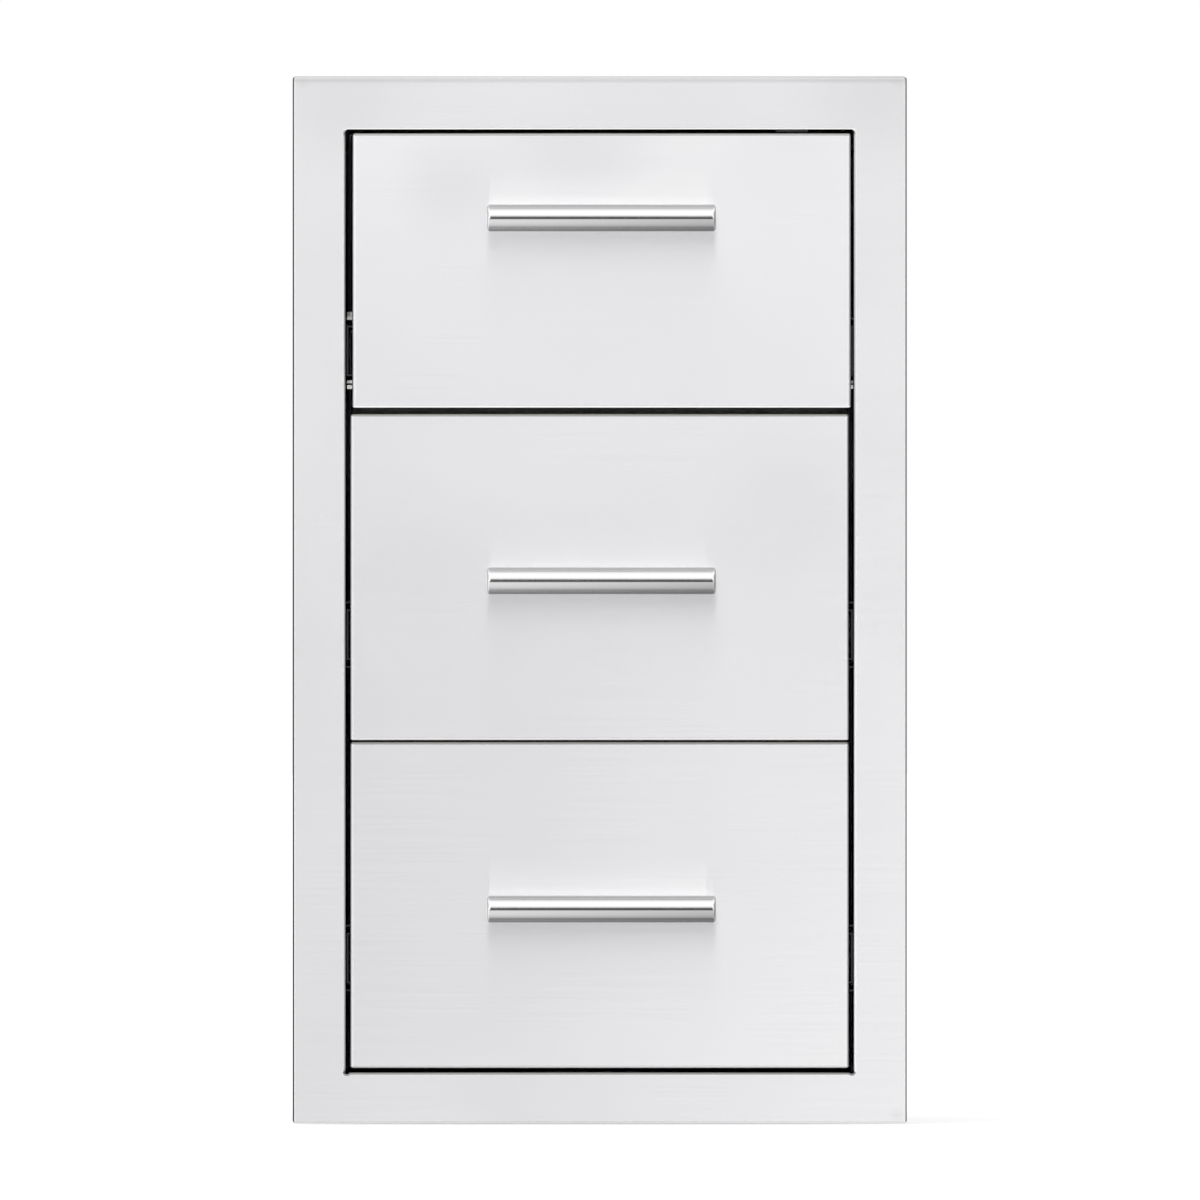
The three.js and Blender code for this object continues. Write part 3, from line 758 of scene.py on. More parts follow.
def fold_profile(corners: list[tuple[float, float, float]], wrap: bool = False) -> np.ndarray:
    """Rounds the corners of a path across folded sheet.

    A corner of radius r and turn t is left r tan(t / 2) early, for the arc round the point
    that lies r / cos(t / 2) from it on the inside. A guard point stands just outside each
    end of the arc, so that the flats keep their own shading.

    Args:
        corners: The inset, depth and radius of each corner.
        wrap: Whether the path is closed.

    Returns:
        The inset, depth and share of a fold (0 or 1) of each point.
    """
    spots = np.array([corner[:2] for corner in corners], float)
    rows: list[np.ndarray] = []
    for i, (spot, corner) in enumerate(zip(spots, corners)):
        radius = corner[2]
        if not radius or (not wrap and i in (0, len(corners) - 1)):
            rows.append(np.array([[*spot, 0.0]]))
            continue
        before, after = spot - spots[i - 1], spots[(i + 1) % len(spots)] - spot
        before, after = before / np.linalg.norm(before), after / np.linalg.norm(after)
        turn = math.acos(np.clip(before @ after, -1, 1))
        early = radius * math.tan(turn / 2)
        inner = (after - before) / np.linalg.norm(after - before)
        centre = spot + inner * radius / math.cos(turn / 2)
        share = np.linspace(0, 1, BEND_STEPS + 1)[:, None]
        start, end = spot - before * early - centre, spot + after * early - centre
        sweep = start * np.sin((1 - share) * turn) + end * np.sin(share * turn)
        arc = centre + sweep / math.sin(turn)
        guards = spot - before * (early + GUARD), spot + after * (early + GUARD)
        rows.append(np.array([[*guards[0], 0.0]]))
        rows.append(np.hstack([arc, np.ones_like(share)]))
        rows.append(np.array([[*guards[1], 0.0]]))
    return np.concatenate(rows)


def folded_pan(
    box: Box, radius: float, profile: np.ndarray, place: Callable[[np.ndarray, float], np.ndarray]
) -> Surface:
    """Carries a profile round a rectangle.

    Args:
        box: The rectangle that insets are measured from.
        radius: The corner radius at no inset, which falls as the inset grows.
        profile: Rows of inset, depth and share of a fold.
        place: Turns an outline and its depth into points.

    Returns:
        A closed surface with flat faces at both ends of the profile.
    """
    rings = np.stack(
        [place(rounded_outline(box.inset(i), radius - i), depth) for i, depth, _ in profile]
    )
    surface = grid_surface(rings, wrap=False, capped=True)
    surface.marks["fold"] = np.repeat(profile[:, 2], rings.shape[1])
    return surface


def facing_front(outline: np.ndarray, depth: float) -> np.ndarray:
    """Returns an outline of X and Z as points at one Y."""
    return np.insert(outline, 1, depth, axis=1)


def facing_up(outline: np.ndarray, height: float) -> np.ndarray:
    """Returns an outline of X and Y as points at one Z."""
    return np.insert(outline, 2, height, axis=1)


def turned(profile: np.ndarray, sides: int) -> Surface:
    """Turns a profile about the Z axis.

    Args:
        profile: Rows of height and radius.
        sides: The number of points round the axis.

    Returns:
        The closed surface (r cos a, r sin a, h), with flat ends.
    """
    angle = np.arange(sides) / sides * 2 * math.pi
    height, radius = profile[:, :1], profile[:, 1:2]
    rings = np.stack(
        [radius * np.cos(angle), radius * np.sin(angle), height + 0 * angle], axis=-1
    )
    return grid_surface(rings, wrap=False, capped=True)


def strip_section(path: np.ndarray, thickness: float) -> np.ndarray:
    """Gives a path the thickness of a sheet.

    Each point moves half the thickness to both sides, along the mean of the normals of the
    runs that meet there, and further by the cosine between the mean and either normal.

    Args:
        path: The middle of the sheet, as X and Z.
        thickness: The sheet's thickness.

    Returns:
        The closed section.
    """
    run = np.diff(path, axis=0)
    run /= np.linalg.norm(run, axis=1, keepdims=True)
    before, after = np.vstack([run[:1], run]), np.vstack([run, run[-1:]])
    mean = before + after
    mean /= np.linalg.norm(mean, axis=1, keepdims=True)
    spread = thickness / 2 / (mean * after).sum(axis=1, keepdims=True)
    side = np.stack([-mean[:, 1], mean[:, 0]], axis=1) * spread
    return np.concatenate([path + side, (path - side)[::-1]])


def extruded(section: np.ndarray, start: float, end: float) -> Surface:
    """Carries a section of X and Z straight along Y, and closes both ends."""
    rings = np.stack([facing_front(section, start), facing_front(section, end)])
    return grid_surface(rings, wrap=False, capped=True)


# Pieces


def node_box(name: str) -> np.ndarray:
    """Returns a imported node's lowest and highest corner in millimetres."""
    return np.array([list(corner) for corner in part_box(name)]) / MM


def front_outline(name: str) -> Box:
    """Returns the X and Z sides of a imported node's box."""
    low, high = node_box(name)
    return Box(low[0], high[0], low[2], high[2])


def add_piece(
    surface: Surface, name: str, finish: bpy.types.Material, body: str, slot: str, *nodes: str
) -> bpy.types.Object:
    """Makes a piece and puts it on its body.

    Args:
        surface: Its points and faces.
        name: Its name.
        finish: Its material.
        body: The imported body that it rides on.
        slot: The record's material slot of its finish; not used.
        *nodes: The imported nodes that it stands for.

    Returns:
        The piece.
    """
    made = surface.mesh_object(name, finish)
    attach(made, body)
    if nodes:
        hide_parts(*nodes)
    log.info("%s rides on %s, %d points", name, body, len(surface.points))
    return made


def dress(name: str, finish: bpy.types.Material) -> None:
    """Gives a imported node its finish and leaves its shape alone.

    Args:
        name: The node's name.
        finish: Its material.
    """
    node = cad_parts[name]
    if not node.material_slots:
        node.data.materials.append(finish)
    node.material_slots[0].material = finish
    log.info("%s keeps its packed shape", name)


@dataclass
class FaceFrame:
    """The folded sheet round the drawers, with a relief hole at each inner corner.

    A relief is how far inside both edges its centre lies, across and up, and its radius.
    """

    finishes: Finishes
    stile: float = 36.2
    top_rail: float = 36.3
    bottom_rail: float = 35.0
    sheet: float = 1.2
    bend: float = 1.6
    inner_bend: float = 0.4
    corner_radius: float = 2.2
    edge_fold: float = 9.5
    hem: float = 10.0
    return_depth: float = 22.0
    reliefs: tuple[tuple[float, float, float], ...] = (
        (1.4, 0.7, 1.55), (1.7, 2.1, 2.15), (2.2, 2.6, 2.7), (1.0, 0.5, 1.6),
    )

    def _opening_outline(self, opening: Box, outset: float) -> np.ndarray:
        """Works out the opening with its relief holes.

        Every corner is the part of a circle that lies outside both edges, whose centre is a
        little way across and up inside them. Growing the outline grows all three.

        Args:
            opening: The opening.
            outset: How far outside the opening the outline lies.

        Returns:
            The points, anticlockwise from the lower right corner.
        """
        corners = []
        for quarter, corner in enumerate(opening.inset(-outset).corners()):
            across, up, radius = (length + outset for length in self.reliefs[quarter])
            out, rise = (up, across) if quarter % 2 == 0 else (across, up)
            first, last = -math.acos(out / radius), QUARTER + math.acos(rise / radius)
            angle = np.linspace(first, last, CORNER_STEPS + 1)
            arc = np.stack([radius * np.cos(angle) - out, radius * np.sin(angle) - rise])
            turn = (quarter - 1) * QUARTER
            cosine, sine = round(math.cos(turn)), round(math.sin(turn))
            corners.append(corner + (np.array([[cosine, -sine], [sine, cosine]]) @ arc).T)
        return np.concatenate(corners)

    def build(self) -> None:
        """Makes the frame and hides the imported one."""
        outside, face = front_outline("face_frame"), node_box("face_frame")[0][1]
        opening = Box(
            outside.left + self.stile,
            outside.right - self.stile,
            outside.low + self.bottom_rail,
            outside.high - self.top_rail,
        )
        width, edge, sheet = self.stile, self.edge_fold, self.sheet
        hem_end, wall, inner = width - self.hem, width - sheet, self.inner_bend
        corners = [
            (0, self.return_depth, 0), (0, 0, self.bend), (width, 0, self.bend),
            (width, edge, self.bend), (hem_end, edge, 0), (hem_end, edge - sheet, 0),
            (wall, edge - sheet, inner), (wall, sheet, inner), (sheet, sheet, inner),
            (sheet, self.return_depth, 0),
        ]
        profile = fold_profile(corners, wrap=True)
        rings = []
        for across, depth, _ in profile:
            if across < width / 2:
                outline = self._opening_outline(opening, across)
            else:
                inset = width - across
                outline = rounded_outline(outside.inset(inset), self.corner_radius - inset)
            rings.append(facing_front(outline, face + depth))
        surface = grid_surface(np.stack(rings), wrap=True, capped=False)
        surface.marks["fold"] = np.repeat(profile[:, 2], rings[0].shape[0])
        add_piece(
            surface, "face_frame_sheet", self.finishes.frame,
            "cabinet", "frame_steel", "face_frame",
        )


@dataclass
class DrawerFront:
    """A drawer's folded outer skin and the pressed liner that closes its back."""

    finishes: Finishes
    drawer: str
    sheet: float = 1.0
    bend: float = 1.8
    inner_bend: float = 0.8
    face_start: float = 5.0
    corner_radius: float = 1.6
    depth: float = 20.0
    hem: float = 12.0
    liner_inset: float = 6.0
    liner_sheet: float = 0.8
    liner_rim: float = 8.0
    liner_slope: float = 2.0
    liner_dish: float = 2.0
    dish_start: float = 4.0
    rim_bend: float = 0.6
    dish_bend: float = 1.2

    def build(self) -> None:
        """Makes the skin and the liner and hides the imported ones."""
        node, body = f"{self.drawer}_front_skin", f"{self.drawer}_drawer"
        box, face = front_outline(node), node_box(node)[0][1]
        depth, sheet, start, inner = self.depth, self.sheet, self.face_start, self.inner_bend
        skin = fold_profile([
            (start, 0, 0), (0, 0, self.bend), (0, depth, self.bend), (self.hem, depth, 0),
            (self.hem, depth - sheet, 0), (sheet, depth - sheet, inner),
            (sheet, sheet, inner), (start, sheet, 0),
        ])
        surface = folded_pan(box, self.corner_radius, skin + (0, face, 0), facing_front)
        add_piece(
            surface, f"{self.drawer}_front_sheet", self.finishes.front, body, "front_steel", node
        )

        rim_end, rear = self.liner_inset + self.liner_rim, depth + self.liner_sheet
        dish, dished = rim_end + self.liner_slope, self.liner_dish
        middle = dish + self.dish_start
        liner = fold_profile([
            (middle, depth - dished, 0), (dish, depth - dished, self.dish_bend),
            (rim_end, depth, self.rim_bend), (self.liner_inset, depth, 0),
            (self.liner_inset, rear, 0), (rim_end, rear, self.rim_bend),
            (dish, rear - dished, self.dish_bend), (middle, rear - dished, 0),
        ])
        radius = self.liner_inset + self.corner_radius
        surface = folded_pan(box, radius, liner + (0, face, 0), facing_front)
        add_piece(
            surface, f"{self.drawer}_liner_sheet", self.finishes.mill,
            body, "liner_steel", f"{self.drawer}_front_liner",
        )


@dataclass
class DrawerTray:
    """A drawer's folded box, whose upper edges turn in and down."""

    finishes: Finishes
    drawer: str
    sheet: float = 1.0
    bend: float = 2.5
    rim_bend: float = 1.2
    hem_bend: float = 0.4
    floor_start: float = 8.0
    corner_radius: float = 3.0
    hem: float = 12.0
    hem_drop: float = 6.0

    def build(self) -> None:
        """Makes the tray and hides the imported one."""
        low, high = node_box(f"{self.drawer}_tray")
        floor, rim, sheet, hem = low[2], high[2], self.sheet, self.hem
        hem_end, start = rim - self.hem_drop, self.floor_start
        profile = fold_profile([
            (start, floor, 0), (0, floor, self.bend), (0, rim, self.bend),
            (hem, rim, self.rim_bend), (hem, hem_end, 0), (hem - sheet, hem_end, 0),
            (hem - sheet, rim - sheet, self.hem_bend), (sheet, rim - sheet, self.rim_bend),
            (sheet, floor + sheet, self.bend - sheet), (start, floor + sheet, 0),
        ])
        box = Box(low[0], high[0], low[1], high[1])
        surface = folded_pan(box, self.corner_radius, profile, facing_up)
        add_piece(
            surface, f"{self.drawer}_tray_sheet", self.finishes.tray,
            f"{self.drawer}_drawer", "tray_steel", f"{self.drawer}_tray",
        )


@dataclass
class BarHandle:
    """A turned bar with slightly domed ends, on two coped posts."""

    finishes: Finishes
    drawer: str
    edge_radius: float = 1.9
    end_dome: float = 1.0
    dome_shares: tuple[float, float, int] = (0.1, 0.9, 7)
    bar_sides: int = 96
    post_sides: int = 64
    base_chamfer: float = 0.4

    def build(self) -> None:
        """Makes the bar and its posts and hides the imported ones.

        Along the bar, an end lies the dome's height times the square of the share of the
        radius short of its middle.
        """
        low, high = node_box(f"{self.drawer}_handle_bar")
        middle, (length, _, radius) = (low + high) / 2, (high - low) / 2
        share = np.linspace(*self.dome_shares)
        rise = length - self.end_dome * share**2
        edge = length - self.end_dome
        corners = [(s * radius, -x, 0.0) for s, x in zip(share, rise)]
        corners += [(radius, -edge, self.edge_radius), (radius, edge, self.edge_radius)]
        corners += [(s * radius, x, 0.0) for s, x in zip(share[::-1], rise[::-1])]
        bar = turned(fold_profile(corners)[:, 1::-1], self.bar_sides)
        add_piece(
            bar.stamped(middle[None], ALONG_Z, ALONG_X), f"{self.drawer}_bar",
            self.finishes.handle, f"{self.drawer}_drawer", "handle_steel",
            f"{self.drawer}_handle_bar",
        )
        for side in SIDES:
            self._post(side, middle, radius)

    def _post(self, side: str, bar: np.ndarray, bar_radius: float) -> None:
        """Makes one post.

        Round the post, at height z from the bar's axis, the coped end lies
        sqrt(bar radius squared - z squared) behind that axis.

        Args:
            side: Which of the two posts.
            bar: The middle of the bar.
            bar_radius: The bar's radius.
        """
        node = f"{self.drawer}_handle_post_{side}"
        low, high = node_box(node)
        radius, centre = (high[0] - low[0]) / 2, (low + high) / 2
        angle = np.arange(self.post_sides) / self.post_sides * 2 * math.pi
        across, up = np.cos(angle), np.sin(angle)
        cope = bar[1] + np.sqrt(bar_radius**2 - (radius * up) ** 2)
        face, chamfer = high[1], self.base_chamfer
        rings = [
            (radius - chamfer, face + 0 * angle),
            (radius, face - chamfer + 0 * angle),
            (radius, (face + cope) / 2),
            (radius, cope),
        ]
        grid = np.stack(
            [np.stack([centre[0] + r * across, y, centre[2] + r * up], axis=1) for r, y in rings]
        )
        made = add_piece(
            grid_surface(grid, wrap=False, capped=True), f"{self.drawer}_post_{side}",
            self.finishes.handle, f"{self.drawer}_drawer", "handle_steel", node,
        )
        made.visible_glossy = False


@dataclass
class Cabinet:
    """The sheets that stay in the island, and the rivets that hold them."""

    finishes: Finishes
    sheet: float = 1.0
    back_bend: float = 2.0
    back_start: float = 6.0
    rivet_radius: float = 3.2
    rivet_height: float = 1.0
    rivet_sides: int = 24
    dome_steps: int = 7
    dome_end: float = 0.97
    rivet_heights: tuple[float, ...] = (48.0, 186.5, 325.0, 463.5, 602.0)
    rivet_columns: tuple[float, ...] = (-120.0, 0.0, 120.0)
    front_gap: float = 12.0
    rear_gap: float = 9.5

    def build(self) -> None:
        """Makes the back and the rivets, and finishes the sheets."""
        for name in ("side_left", "side_right", "top", "bottom"):
            dress(f"cabinet_{name}", self.finishes.mill)
        low, high = node_box("cabinet_back")
        front, rear, sheet, start = low[1], high[1], self.sheet, self.back_start
        profile = fold_profile([
            (start, rear, 0), (0, rear, self.back_bend), (0, front, 0), (sheet, front, 0),
            (sheet, rear - sheet, self.back_bend - sheet), (start, rear - sheet, 0),
        ])
        box = front_outline("cabinet_back")
        add_piece(
            folded_pan(box, self.back_bend, profile, facing_front), "cabinet_back_sheet",
            self.finishes.mill, "cabinet", "cabinet_steel", "cabinet_back",
        )
        self._rivets()

    def _rivets(self) -> None:
        """Makes the rivet heads along the sides and across the top and bottom.

        A head is a low dome: its radius falls as the cosine and its height grows as the sine
        of the same angle.
        """
        angle = np.linspace(0, self.dome_end, self.dome_steps) * QUARTER
        dome = np.stack([np.sin(angle) * self.rivet_height, np.cos(angle) * self.rivet_radius], 1)
        head = turned(dome, self.rivet_sides)
        low, high = node_box("cabinet_side_right")
        ends = low[1] + self.front_gap, high[1] - self.rear_gap
        places = [(y, z) for y in ends for z in self.rivet_heights]
        for drawer in DRAWERS:
            places += slide_places(f"{drawer}_right_cabinet_member")
        heads = []
        for sign in SIDES.values():
            at = np.insert(np.array(places), 0, sign * high[0], axis=1)
            heads.append(head.stamped(at, ALONG_Z, sign * ALONG_X))
        ends_z = (1, node_box("cabinet_top")[1][2]), (-1, node_box("cabinet_bottom")[0][2])
        for sign, level in ends_z:
            at = np.array([(x, ends[1], level) for x in self.rivet_columns])
            heads.append(head.stamped(at, ALONG_X, sign * ALONG_Z))
        add_piece(
            Surface.joined(heads), "cabinet_rivets", self.finishes.screw,
            "cabinet", "cabinet_steel",
        )


def slide_places(member: str) -> list[tuple[float, float]]:
    """Works out where a slide member is fastened.

    Args:
        member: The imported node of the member.

    Returns:
        The Y and Z of each fastener, at its shares of the member's length.
    """
    low, high = node_box(member)
    return [(low[1] + (high[1] - low[1]) * s, (low[2] + high[2]) / 2) for s in SLIDE_SHARES]


@dataclass
class SlidePair:
    """A drawer's two full-extension slides: rolled members, and cages full of balls.

    A tab's span is measured from the web of its member, and its leaves' from the middle.
    """

    finishes: Finishes
    drawer: str
    cage_sheet: float = 0.5
    cage_bend: float = 0.8
    cage_steps: int = 5
    cage_lip: float = 1.3
    balls_per_row: int = 11
    row_share: float = 0.92
    outer_ball: float = 4.0
    inner_ball: float = 3.2
    ball_span: tuple[float, float, int] = (0.06, 0.94, 12)
    ball_sides: int = 18
    tab_span: Span = (2.4, 6.0)
    right_tab_span: Span = (1.9, 6.0)
    tab_sheet: float = 1.0
    tab_radius: float = 0.45
    tab_gap: float = 0.08
    upper_leaves: tuple[Span, ...] = ((21.2, 23.8), (23.9, 26.6))
    lower_leaves: tuple[Span, ...] = ((-22.3, -20.2), (-26.2, -23.4))

    def build(self) -> None:
        """Finishes the members and makes the cages."""
        if self.drawer == DRAWERS[0]:
            self._tabs()
        for side in SIDES:
            for member in ("cabinet", "intermediate", "drawer"):
                dress(f"{self.drawer}_{side}_{member}_member", self.finishes.strip)
            self._cage(side, "outer", self.outer_ball)
            self._cage(side, "inner", self.inner_ball)

    def _tabs(self) -> None:
        """Makes the folded tabs at the front ends of the cabinet members.

        A tab is two leaves of sheet, one above the other. Each is a rounded bar in front
        of the member's lip. The right side has only the lower tab.
        """
        leaves = []
        for side, sign in SIDES.items():
            low, high = node_box(f"{self.drawer}_{side}_cabinet_member")
            web = high[0] if sign > 0 else low[0]
            middle, front = (low[2] + high[2]) / 2, low[1]
            span = self.right_tab_span if sign > 0 else self.tab_span
            left, right = sorted(web - sign * reach for reach in span)
            for bottom, top in self.lower_leaves + (self.upper_leaves if sign < 0 else ()):
                leaf = Box(left, right, middle + bottom, middle + top).inset(self.tab_gap)
                outline = rounded_outline(leaf, self.tab_radius)
                leaves.append(extruded(outline, front - self.tab_sheet, front))
        add_piece(
            Surface.joined(leaves), f"{self.drawer}_slide_tabs", self.finishes.tab,
            "cabinet", "slide_steel",
        )

    def _cage(self, side: str, row: str, ball: float) -> None:
        """Makes one cage and its two rows of balls.

        The cage's strip runs from its web round a bend to a lip past the balls, above and
        below. A ball is the profile (-cos a, sin a) turned about its axis.

        Args:
            side: The side of the cabinet.
            row: Which cage of the slide.
            ball: The diameter of its balls.
        """
        node, body = f"{self.drawer}_{side}_{row}_ball_cage", f"{self.drawer}_{row}_cages"
        low, high = node_box(node)
        sign, middle, half_sheet = SIDES[side], (low + high) / 2, self.cage_sheet / 2
        up = (high[2] - low[2]) / 2 - ball / 2
        web = high[0] - half_sheet if sign > 0 else low[0] + half_sheet
        balls = web - sign * (high[0] - low[0] - ball / 2 - half_sheet)
        lip = balls - sign * self.cage_lip
        bend = np.linspace(0, QUARTER, self.cage_steps)
        arc_x = web - sign * self.cage_bend * (1 - np.sin(bend))
        arc_z = up - self.cage_bend * (1 - np.cos(bend))
        upper = np.column_stack([np.r_[lip, arc_x], np.r_[up, arc_z]])
        path = np.concatenate([upper, (upper * (1, -1))[::-1]]) + (0, middle[2])
        strip = extruded(strip_section(path, self.cage_sheet), low[1], high[1])
        add_piece(strip, f"{node}_strip", self.finishes.cage, body, "cage_steel", node)

        angle = np.linspace(*self.ball_span) * math.pi
        profile = np.stack([-np.cos(angle), np.sin(angle)], 1) * ball / 2
        length = (high[1] - low[1]) * self.row_share / 2
        places = np.linspace(-length, length, self.balls_per_row) + middle[1]
        heights = np.repeat([middle[2] - up, middle[2] + up], self.balls_per_row)
        at = np.column_stack([np.full(heights.size, balls), np.tile(places, 2), heights])
        rows = turned(profile, self.ball_sides).stamped(at, ALONG_X, ALONG_Z)
        add_piece(rows, f"{node}_balls", self.finishes.ball, body, "cage_steel")


@dataclass
class TrayFixings:
    """The screws that show inside a drawer, each with a cross recess.

    A head's rim rises as rim_heights say at the rim_shares of its radius, and its crown
    spans crown_span.
    """

    finishes: Finishes
    drawer: str
    head_radius: float = 4.2
    head_height: float = 2.4
    head_sides: int = 48
    rim_shares: tuple[float, ...] = (1.0, 1.0, 0.985, 0.93)
    rim_heights: tuple[float, ...] = (0.0, 0.45, 0.62, 0.74)
    crown_span: tuple[float, float, int] = (0.84, 0.04, 14)
    crown_fall: float = 0.22
    recess_reach: float = 2.3
    recess_width: float = 0.45
    recess_depth: float = 1.2
    sheet: float = 1.0
    side_gap: float = 16.0
    floor_gap: float = 16.0
    rim_gap: float = 20.0
    post_gap: float = 14.0

    def _head(self) -> Surface:
        """Works out one screw head.

        The head is a rim that curves into a low crown. The crown's height is the head's
        height times (1 - crown fall times s squared), where s is the share of the radius.
        Where either arm of the cross passes, the recess is taken off it.

        Returns:
            The head, standing on Z 0.
        """
        crown = np.linspace(*self.crown_span)
        share = np.concatenate([self.rim_shares, crown])
        height = self.head_height * np.r_[self.rim_heights, 1 - self.crown_fall * crown**2]
        angle = np.arange(self.head_sides) / self.head_sides * 2 * math.pi
        x = self.head_radius * share[:, None] * np.cos(angle)
        y = self.head_radius * share[:, None] * np.sin(angle)
        arm = np.minimum(np.abs(x), np.abs(y)) < self.recess_width
        inside = arm & (np.hypot(x, y) < self.recess_reach)
        z = height[:, None] - inside * self.recess_depth
        return grid_surface(np.stack([x, y, z], axis=-1), wrap=False, capped=True)

    def build(self) -> None:
        """Puts a screw at each handle post and front corner, and along both slides."""
        low, high = node_box(f"{self.drawer}_tray")
        head = self._head()
        inner_front, inner_side = low[1] + self.sheet, high[0] - self.sheet
        bar_z = node_box(f"{self.drawer}_handle_bar").mean(axis=0)[2]
        posts = [node_box(f"{self.drawer}_handle_post_{side}").mean(axis=0)[0] for side in SIDES]
        front = [(x, inner_front, min(bar_z, high[2] - self.post_gap)) for x in posts]
        front += [
            (sign * (inner_side - self.side_gap), inner_front, z)
            for sign in SIDES.values()
            for z in (low[2] + self.floor_gap, high[2] - self.rim_gap)
        ]
        heads = [head.stamped(np.array(front), ALONG_X, ALONG_Y)]
        places = np.array(slide_places(f"{self.drawer}_right_drawer_member"))
        for sign in SIDES.values():
            at = np.insert(places, 0, sign * inner_side, axis=1)
            heads.append(head.stamped(at, ALONG_Y, -sign * ALONG_X))
        add_piece(
            Surface.joined(heads), f"{self.drawer}_tray_screws", self.finishes.screw,
            f"{self.drawer}_drawer", "tray_steel",
        )


# Studio


@dataclass
class Lamp:
    """A broad soft lamp.

    Its power is what reaches a surface that faces it, its spread the angle in degrees that
    it seems to fill. It tilts and turns in degrees about X and Z, from straight down.
    """

    name: str
    power: float
    spread: float
    tilt: float
    turn: float

    def build(self) -> None:
        """Adds the lamp."""
        data = bpy.data.lights.new(self.name, "SUN")
        data.energy = self.power
        data.angle = math.radians(self.spread)
        made = bpy.data.objects.new(self.name, data)
        made.rotation_euler = (math.radians(self.tilt), 0.0, math.radians(self.turn))
        made.visible_glossy = False
        bpy.context.scene.collection.objects.link(made)


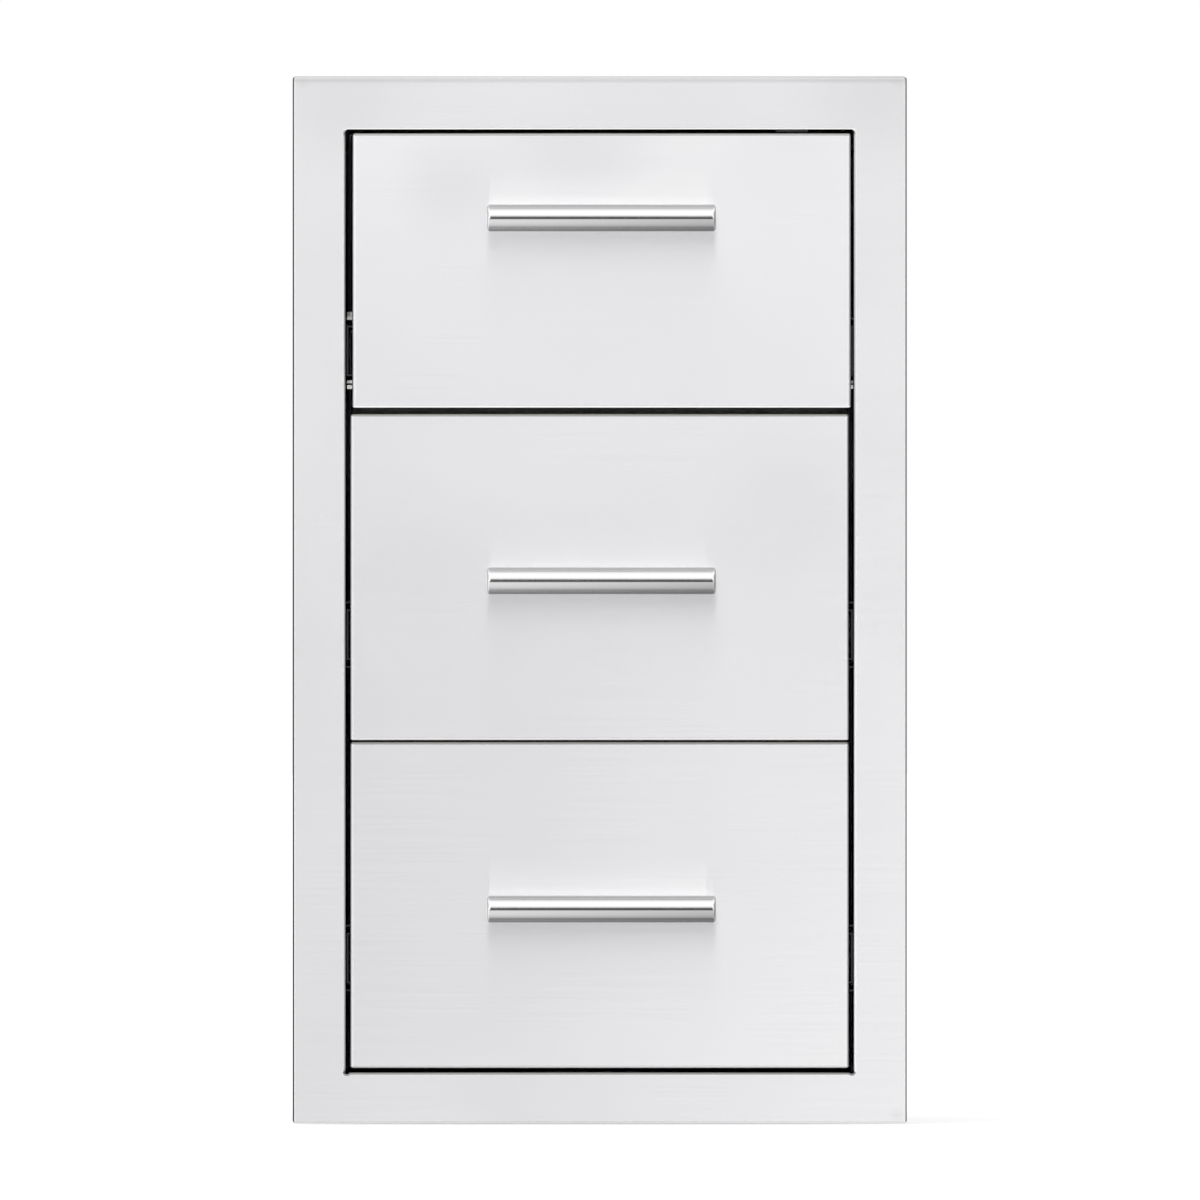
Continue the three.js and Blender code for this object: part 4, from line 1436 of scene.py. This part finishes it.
@dataclass
class Studio:
    """The camera, the floor, the lamps, and the room that the steel mirrors.

    The room is darkest in a narrow strip straight behind the camera, where a ramp from
    straight down to straight up gives its level. Beside the strip a broad screen stands a
    little above eye level. To the left a bright wall dims to left_level far out and away from
    eye level, to the right a wall greys towards right_level, and both fade to plain_level
    behind the object. A dim ring lies a little way behind it. Spans are in degrees round from
    straight behind the camera or up from eye level, but the ring's are parts of a direction
    along Y.
    """

    distance_m: float = 30.0
    view_width_m: float = 0.8206
    centre_x_m: float = 0.0002
    centre_z_m: float = 0.3255
    face_y_m: float = -0.2555
    clip_m: Span = (0.1, 200.0)
    sensor: float = 36.0
    floor_z_m: float = -0.0332
    floor_reach_m: float = 60.0
    floor_tone: float = 0.9
    floor_glow: float = 0.12
    floor_seen: float = 0.2
    lamps: tuple[Lamp, ...] = (
        Lamp("high_lamp", 0.75, 50, 38, -14),
        Lamp("low_lamp", 1.6, 40, 118, -40),
    )
    soft_level: float = 0.8
    room: tuple[tuple[float, float], ...] = (
        (-90, 0.33), (-76, 0.46), (-60, 0.61), (-40, 0.69), (-15, 0.72), (-7, 0.06), (8, 0.06),
        (15, 0.76), (28, 1.12), (42, 1.35), (54, 1.22), (70, 1.03), (80, 0.85), (90, 0.68),
    )
    top_level: float = 4.0
    screen_level: float = 1.57
    screen_height: tuple[Span, Span] = ((-8, 2), (28, 48))
    screen_edge: Span = (0.6, 1.0)
    left_near: float = 1.2
    left_level: float = 0.82
    left_start: Span = (13, 28)
    left_fade: Span = (42, 68)
    left_band: Span = (6, 16)
    right_near: float = 1.0
    right_level: float = 0.4
    right_start: Span = (5, 9)
    right_fade: Span = (5, 55)
    plain_level: float = 0.85
    wall: tuple[Span, Span] = ((0, 2), (95, 120))
    steep: Span = (35, 55)
    rear_level: float = 0.7
    ring: tuple[Span, Span] = ((0.3, 0.5), (0.8, 0.9))

    def build(self) -> None:
        """Makes the camera, the floor, the lamps and the world."""
        self._camera()
        self._floor()
        for lamp in self.lamps:
            lamp.build()
        self._world()
        bpy.context.scene.view_settings.view_transform = "Standard"

    def _camera(self) -> None:
        """Puts the camera straight in front of the face."""
        data = bpy.data.cameras.new("camera")
        data.sensor_width = self.sensor
        data.lens = self.sensor * self.distance_m / self.view_width_m
        data.clip_start, data.clip_end = self.clip_m
        made = bpy.data.objects.new("camera", data)
        made.location = (self.centre_x_m, self.face_y_m - self.distance_m, self.centre_z_m)
        made.rotation_euler = (QUARTER, 0.0, 0.0)
        bpy.context.scene.collection.objects.link(made)
        bpy.context.scene.camera = made

    def _floor(self) -> None:
        """Lays a pale floor that shows white to the camera and keeps soft shadows."""
        reach, level = self.floor_reach_m / MM, self.floor_z_m / MM
        material = bpy.data.materials.new("pale_floor")
        material.use_nodes = True
        bench = Bench(material.node_tree)
        colour = (self.floor_tone, self.floor_tone, self.floor_tone, 1.0)
        diffuse = bench.node("ShaderNodeBsdfDiffuse", None, {"Color": colour})
        seen = bench.node("ShaderNodeLightPath", output="Is Camera Ray")
        strength = self.floor_glow + seen * self.floor_seen
        glow = bench.node("ShaderNodeEmission", None, {"Strength": strength})
        both = bench.node("ShaderNodeAddShader", None, {0: diffuse, 1: glow})
        bench.node("ShaderNodeOutputMaterial", None, {"Surface": both})
        corners = facing_up(Box(-reach, reach, -reach, reach).corners(), level)
        made = Surface(corners, [[0, 1, 2, 3]]).mesh_object("floor", material)
        made.visible_glossy = made.visible_shadow = False

    def _mirrored_room(self, bench: Bench) -> Socket:
        """Works out the room that the steel mirrors.

        Args:
            bench: The world's graph.

        Returns:
            The room's level in the direction of a ray.
        """
        x, y, z = bench.split(bench.node("ShaderNodeTexCoord", output="Generated"))
        height = z.arcsine() * (180 / math.pi)
        right = x.angle_with(-y) * (180 / math.pi)
        left, off_level = -right, abs(height)
        stops = [((angle + 90) / 180, level / self.top_level) for angle, level in self.room]
        ramp = bench.node("ShaderNodeValToRGB", {"stops": stops}, {0: height / 180 + 0.5})
        strip = ramp * self.top_level
        screen = abs(right).between(*self.screen_edge) * height.within(*self.screen_height)
        ahead = strip + (self.screen_level - strip) * screen
        near = (1 - left.between(*self.left_fade)) * (1 - off_level.between(*self.left_band))
        pale = self.left_near + (self.left_level - self.left_near) * (1 - near)
        grey = self.right_near + right.between(*self.right_fade) * (
            self.right_level - self.right_near
        )
        walls = self.plain_level + (pale - self.plain_level) * left.within(*self.wall)
        walls = walls + (grey - self.plain_level) * right.within(*self.wall)
        sides = left.between(*self.left_start) + right.between(*self.right_start)
        beyond = sides * (1 - off_level.between(*self.steep))
        ring = y.within(*self.ring)
        room = ahead + (walls - ahead) * beyond
        return room * (1 - ring * (1 - self.rear_level))

    def _world(self) -> None:
        """Makes the surroundings.

        The camera sees white, the steel mirrors the room, and all else gets one soft level.
        """
        world = bpy.data.worlds.new("studio")
        world.use_nodes = True
        world.cycles.sampling_method = "NONE"
        bench = Bench(world.node_tree)
        room = self._mirrored_room(bench)
        rays = bench.node("ShaderNodeLightPath").link.node.outputs
        camera, through, mirror = (
            Socket(bench, rays[f"Is {kind} Ray"]) for kind in ("Camera", "Transmission", "Glossy")
        )
        level = self.soft_level + (room - self.soft_level) * mirror
        strength = level + (1 - level) * camera.larger(through)
        glow = bench.node(
            "ShaderNodeBackground", None, {"Color": (1, 1, 1, 1), "Strength": strength}
        )
        bench.node("ShaderNodeOutputWorld", None, {"Surface": glow})
        bpy.context.scene.world = world


def main() -> None:
    """Builds the unit's pieces in order, then the studio."""
    logging.basicConfig(level=logging.INFO, format="%(message)s")
    finishes = Finishes()
    FaceFrame(finishes).build()
    Cabinet(finishes).build()
    for drawer in DRAWERS:
        DrawerFront(finishes, drawer).build()
        DrawerTray(finishes, drawer).build()
        BarHandle(finishes, drawer).build()
        SlidePair(finishes, drawer).build()
        TrayFixings(finishes, drawer).build()
    Studio().build()


if __name__ == "__main__":
    main()
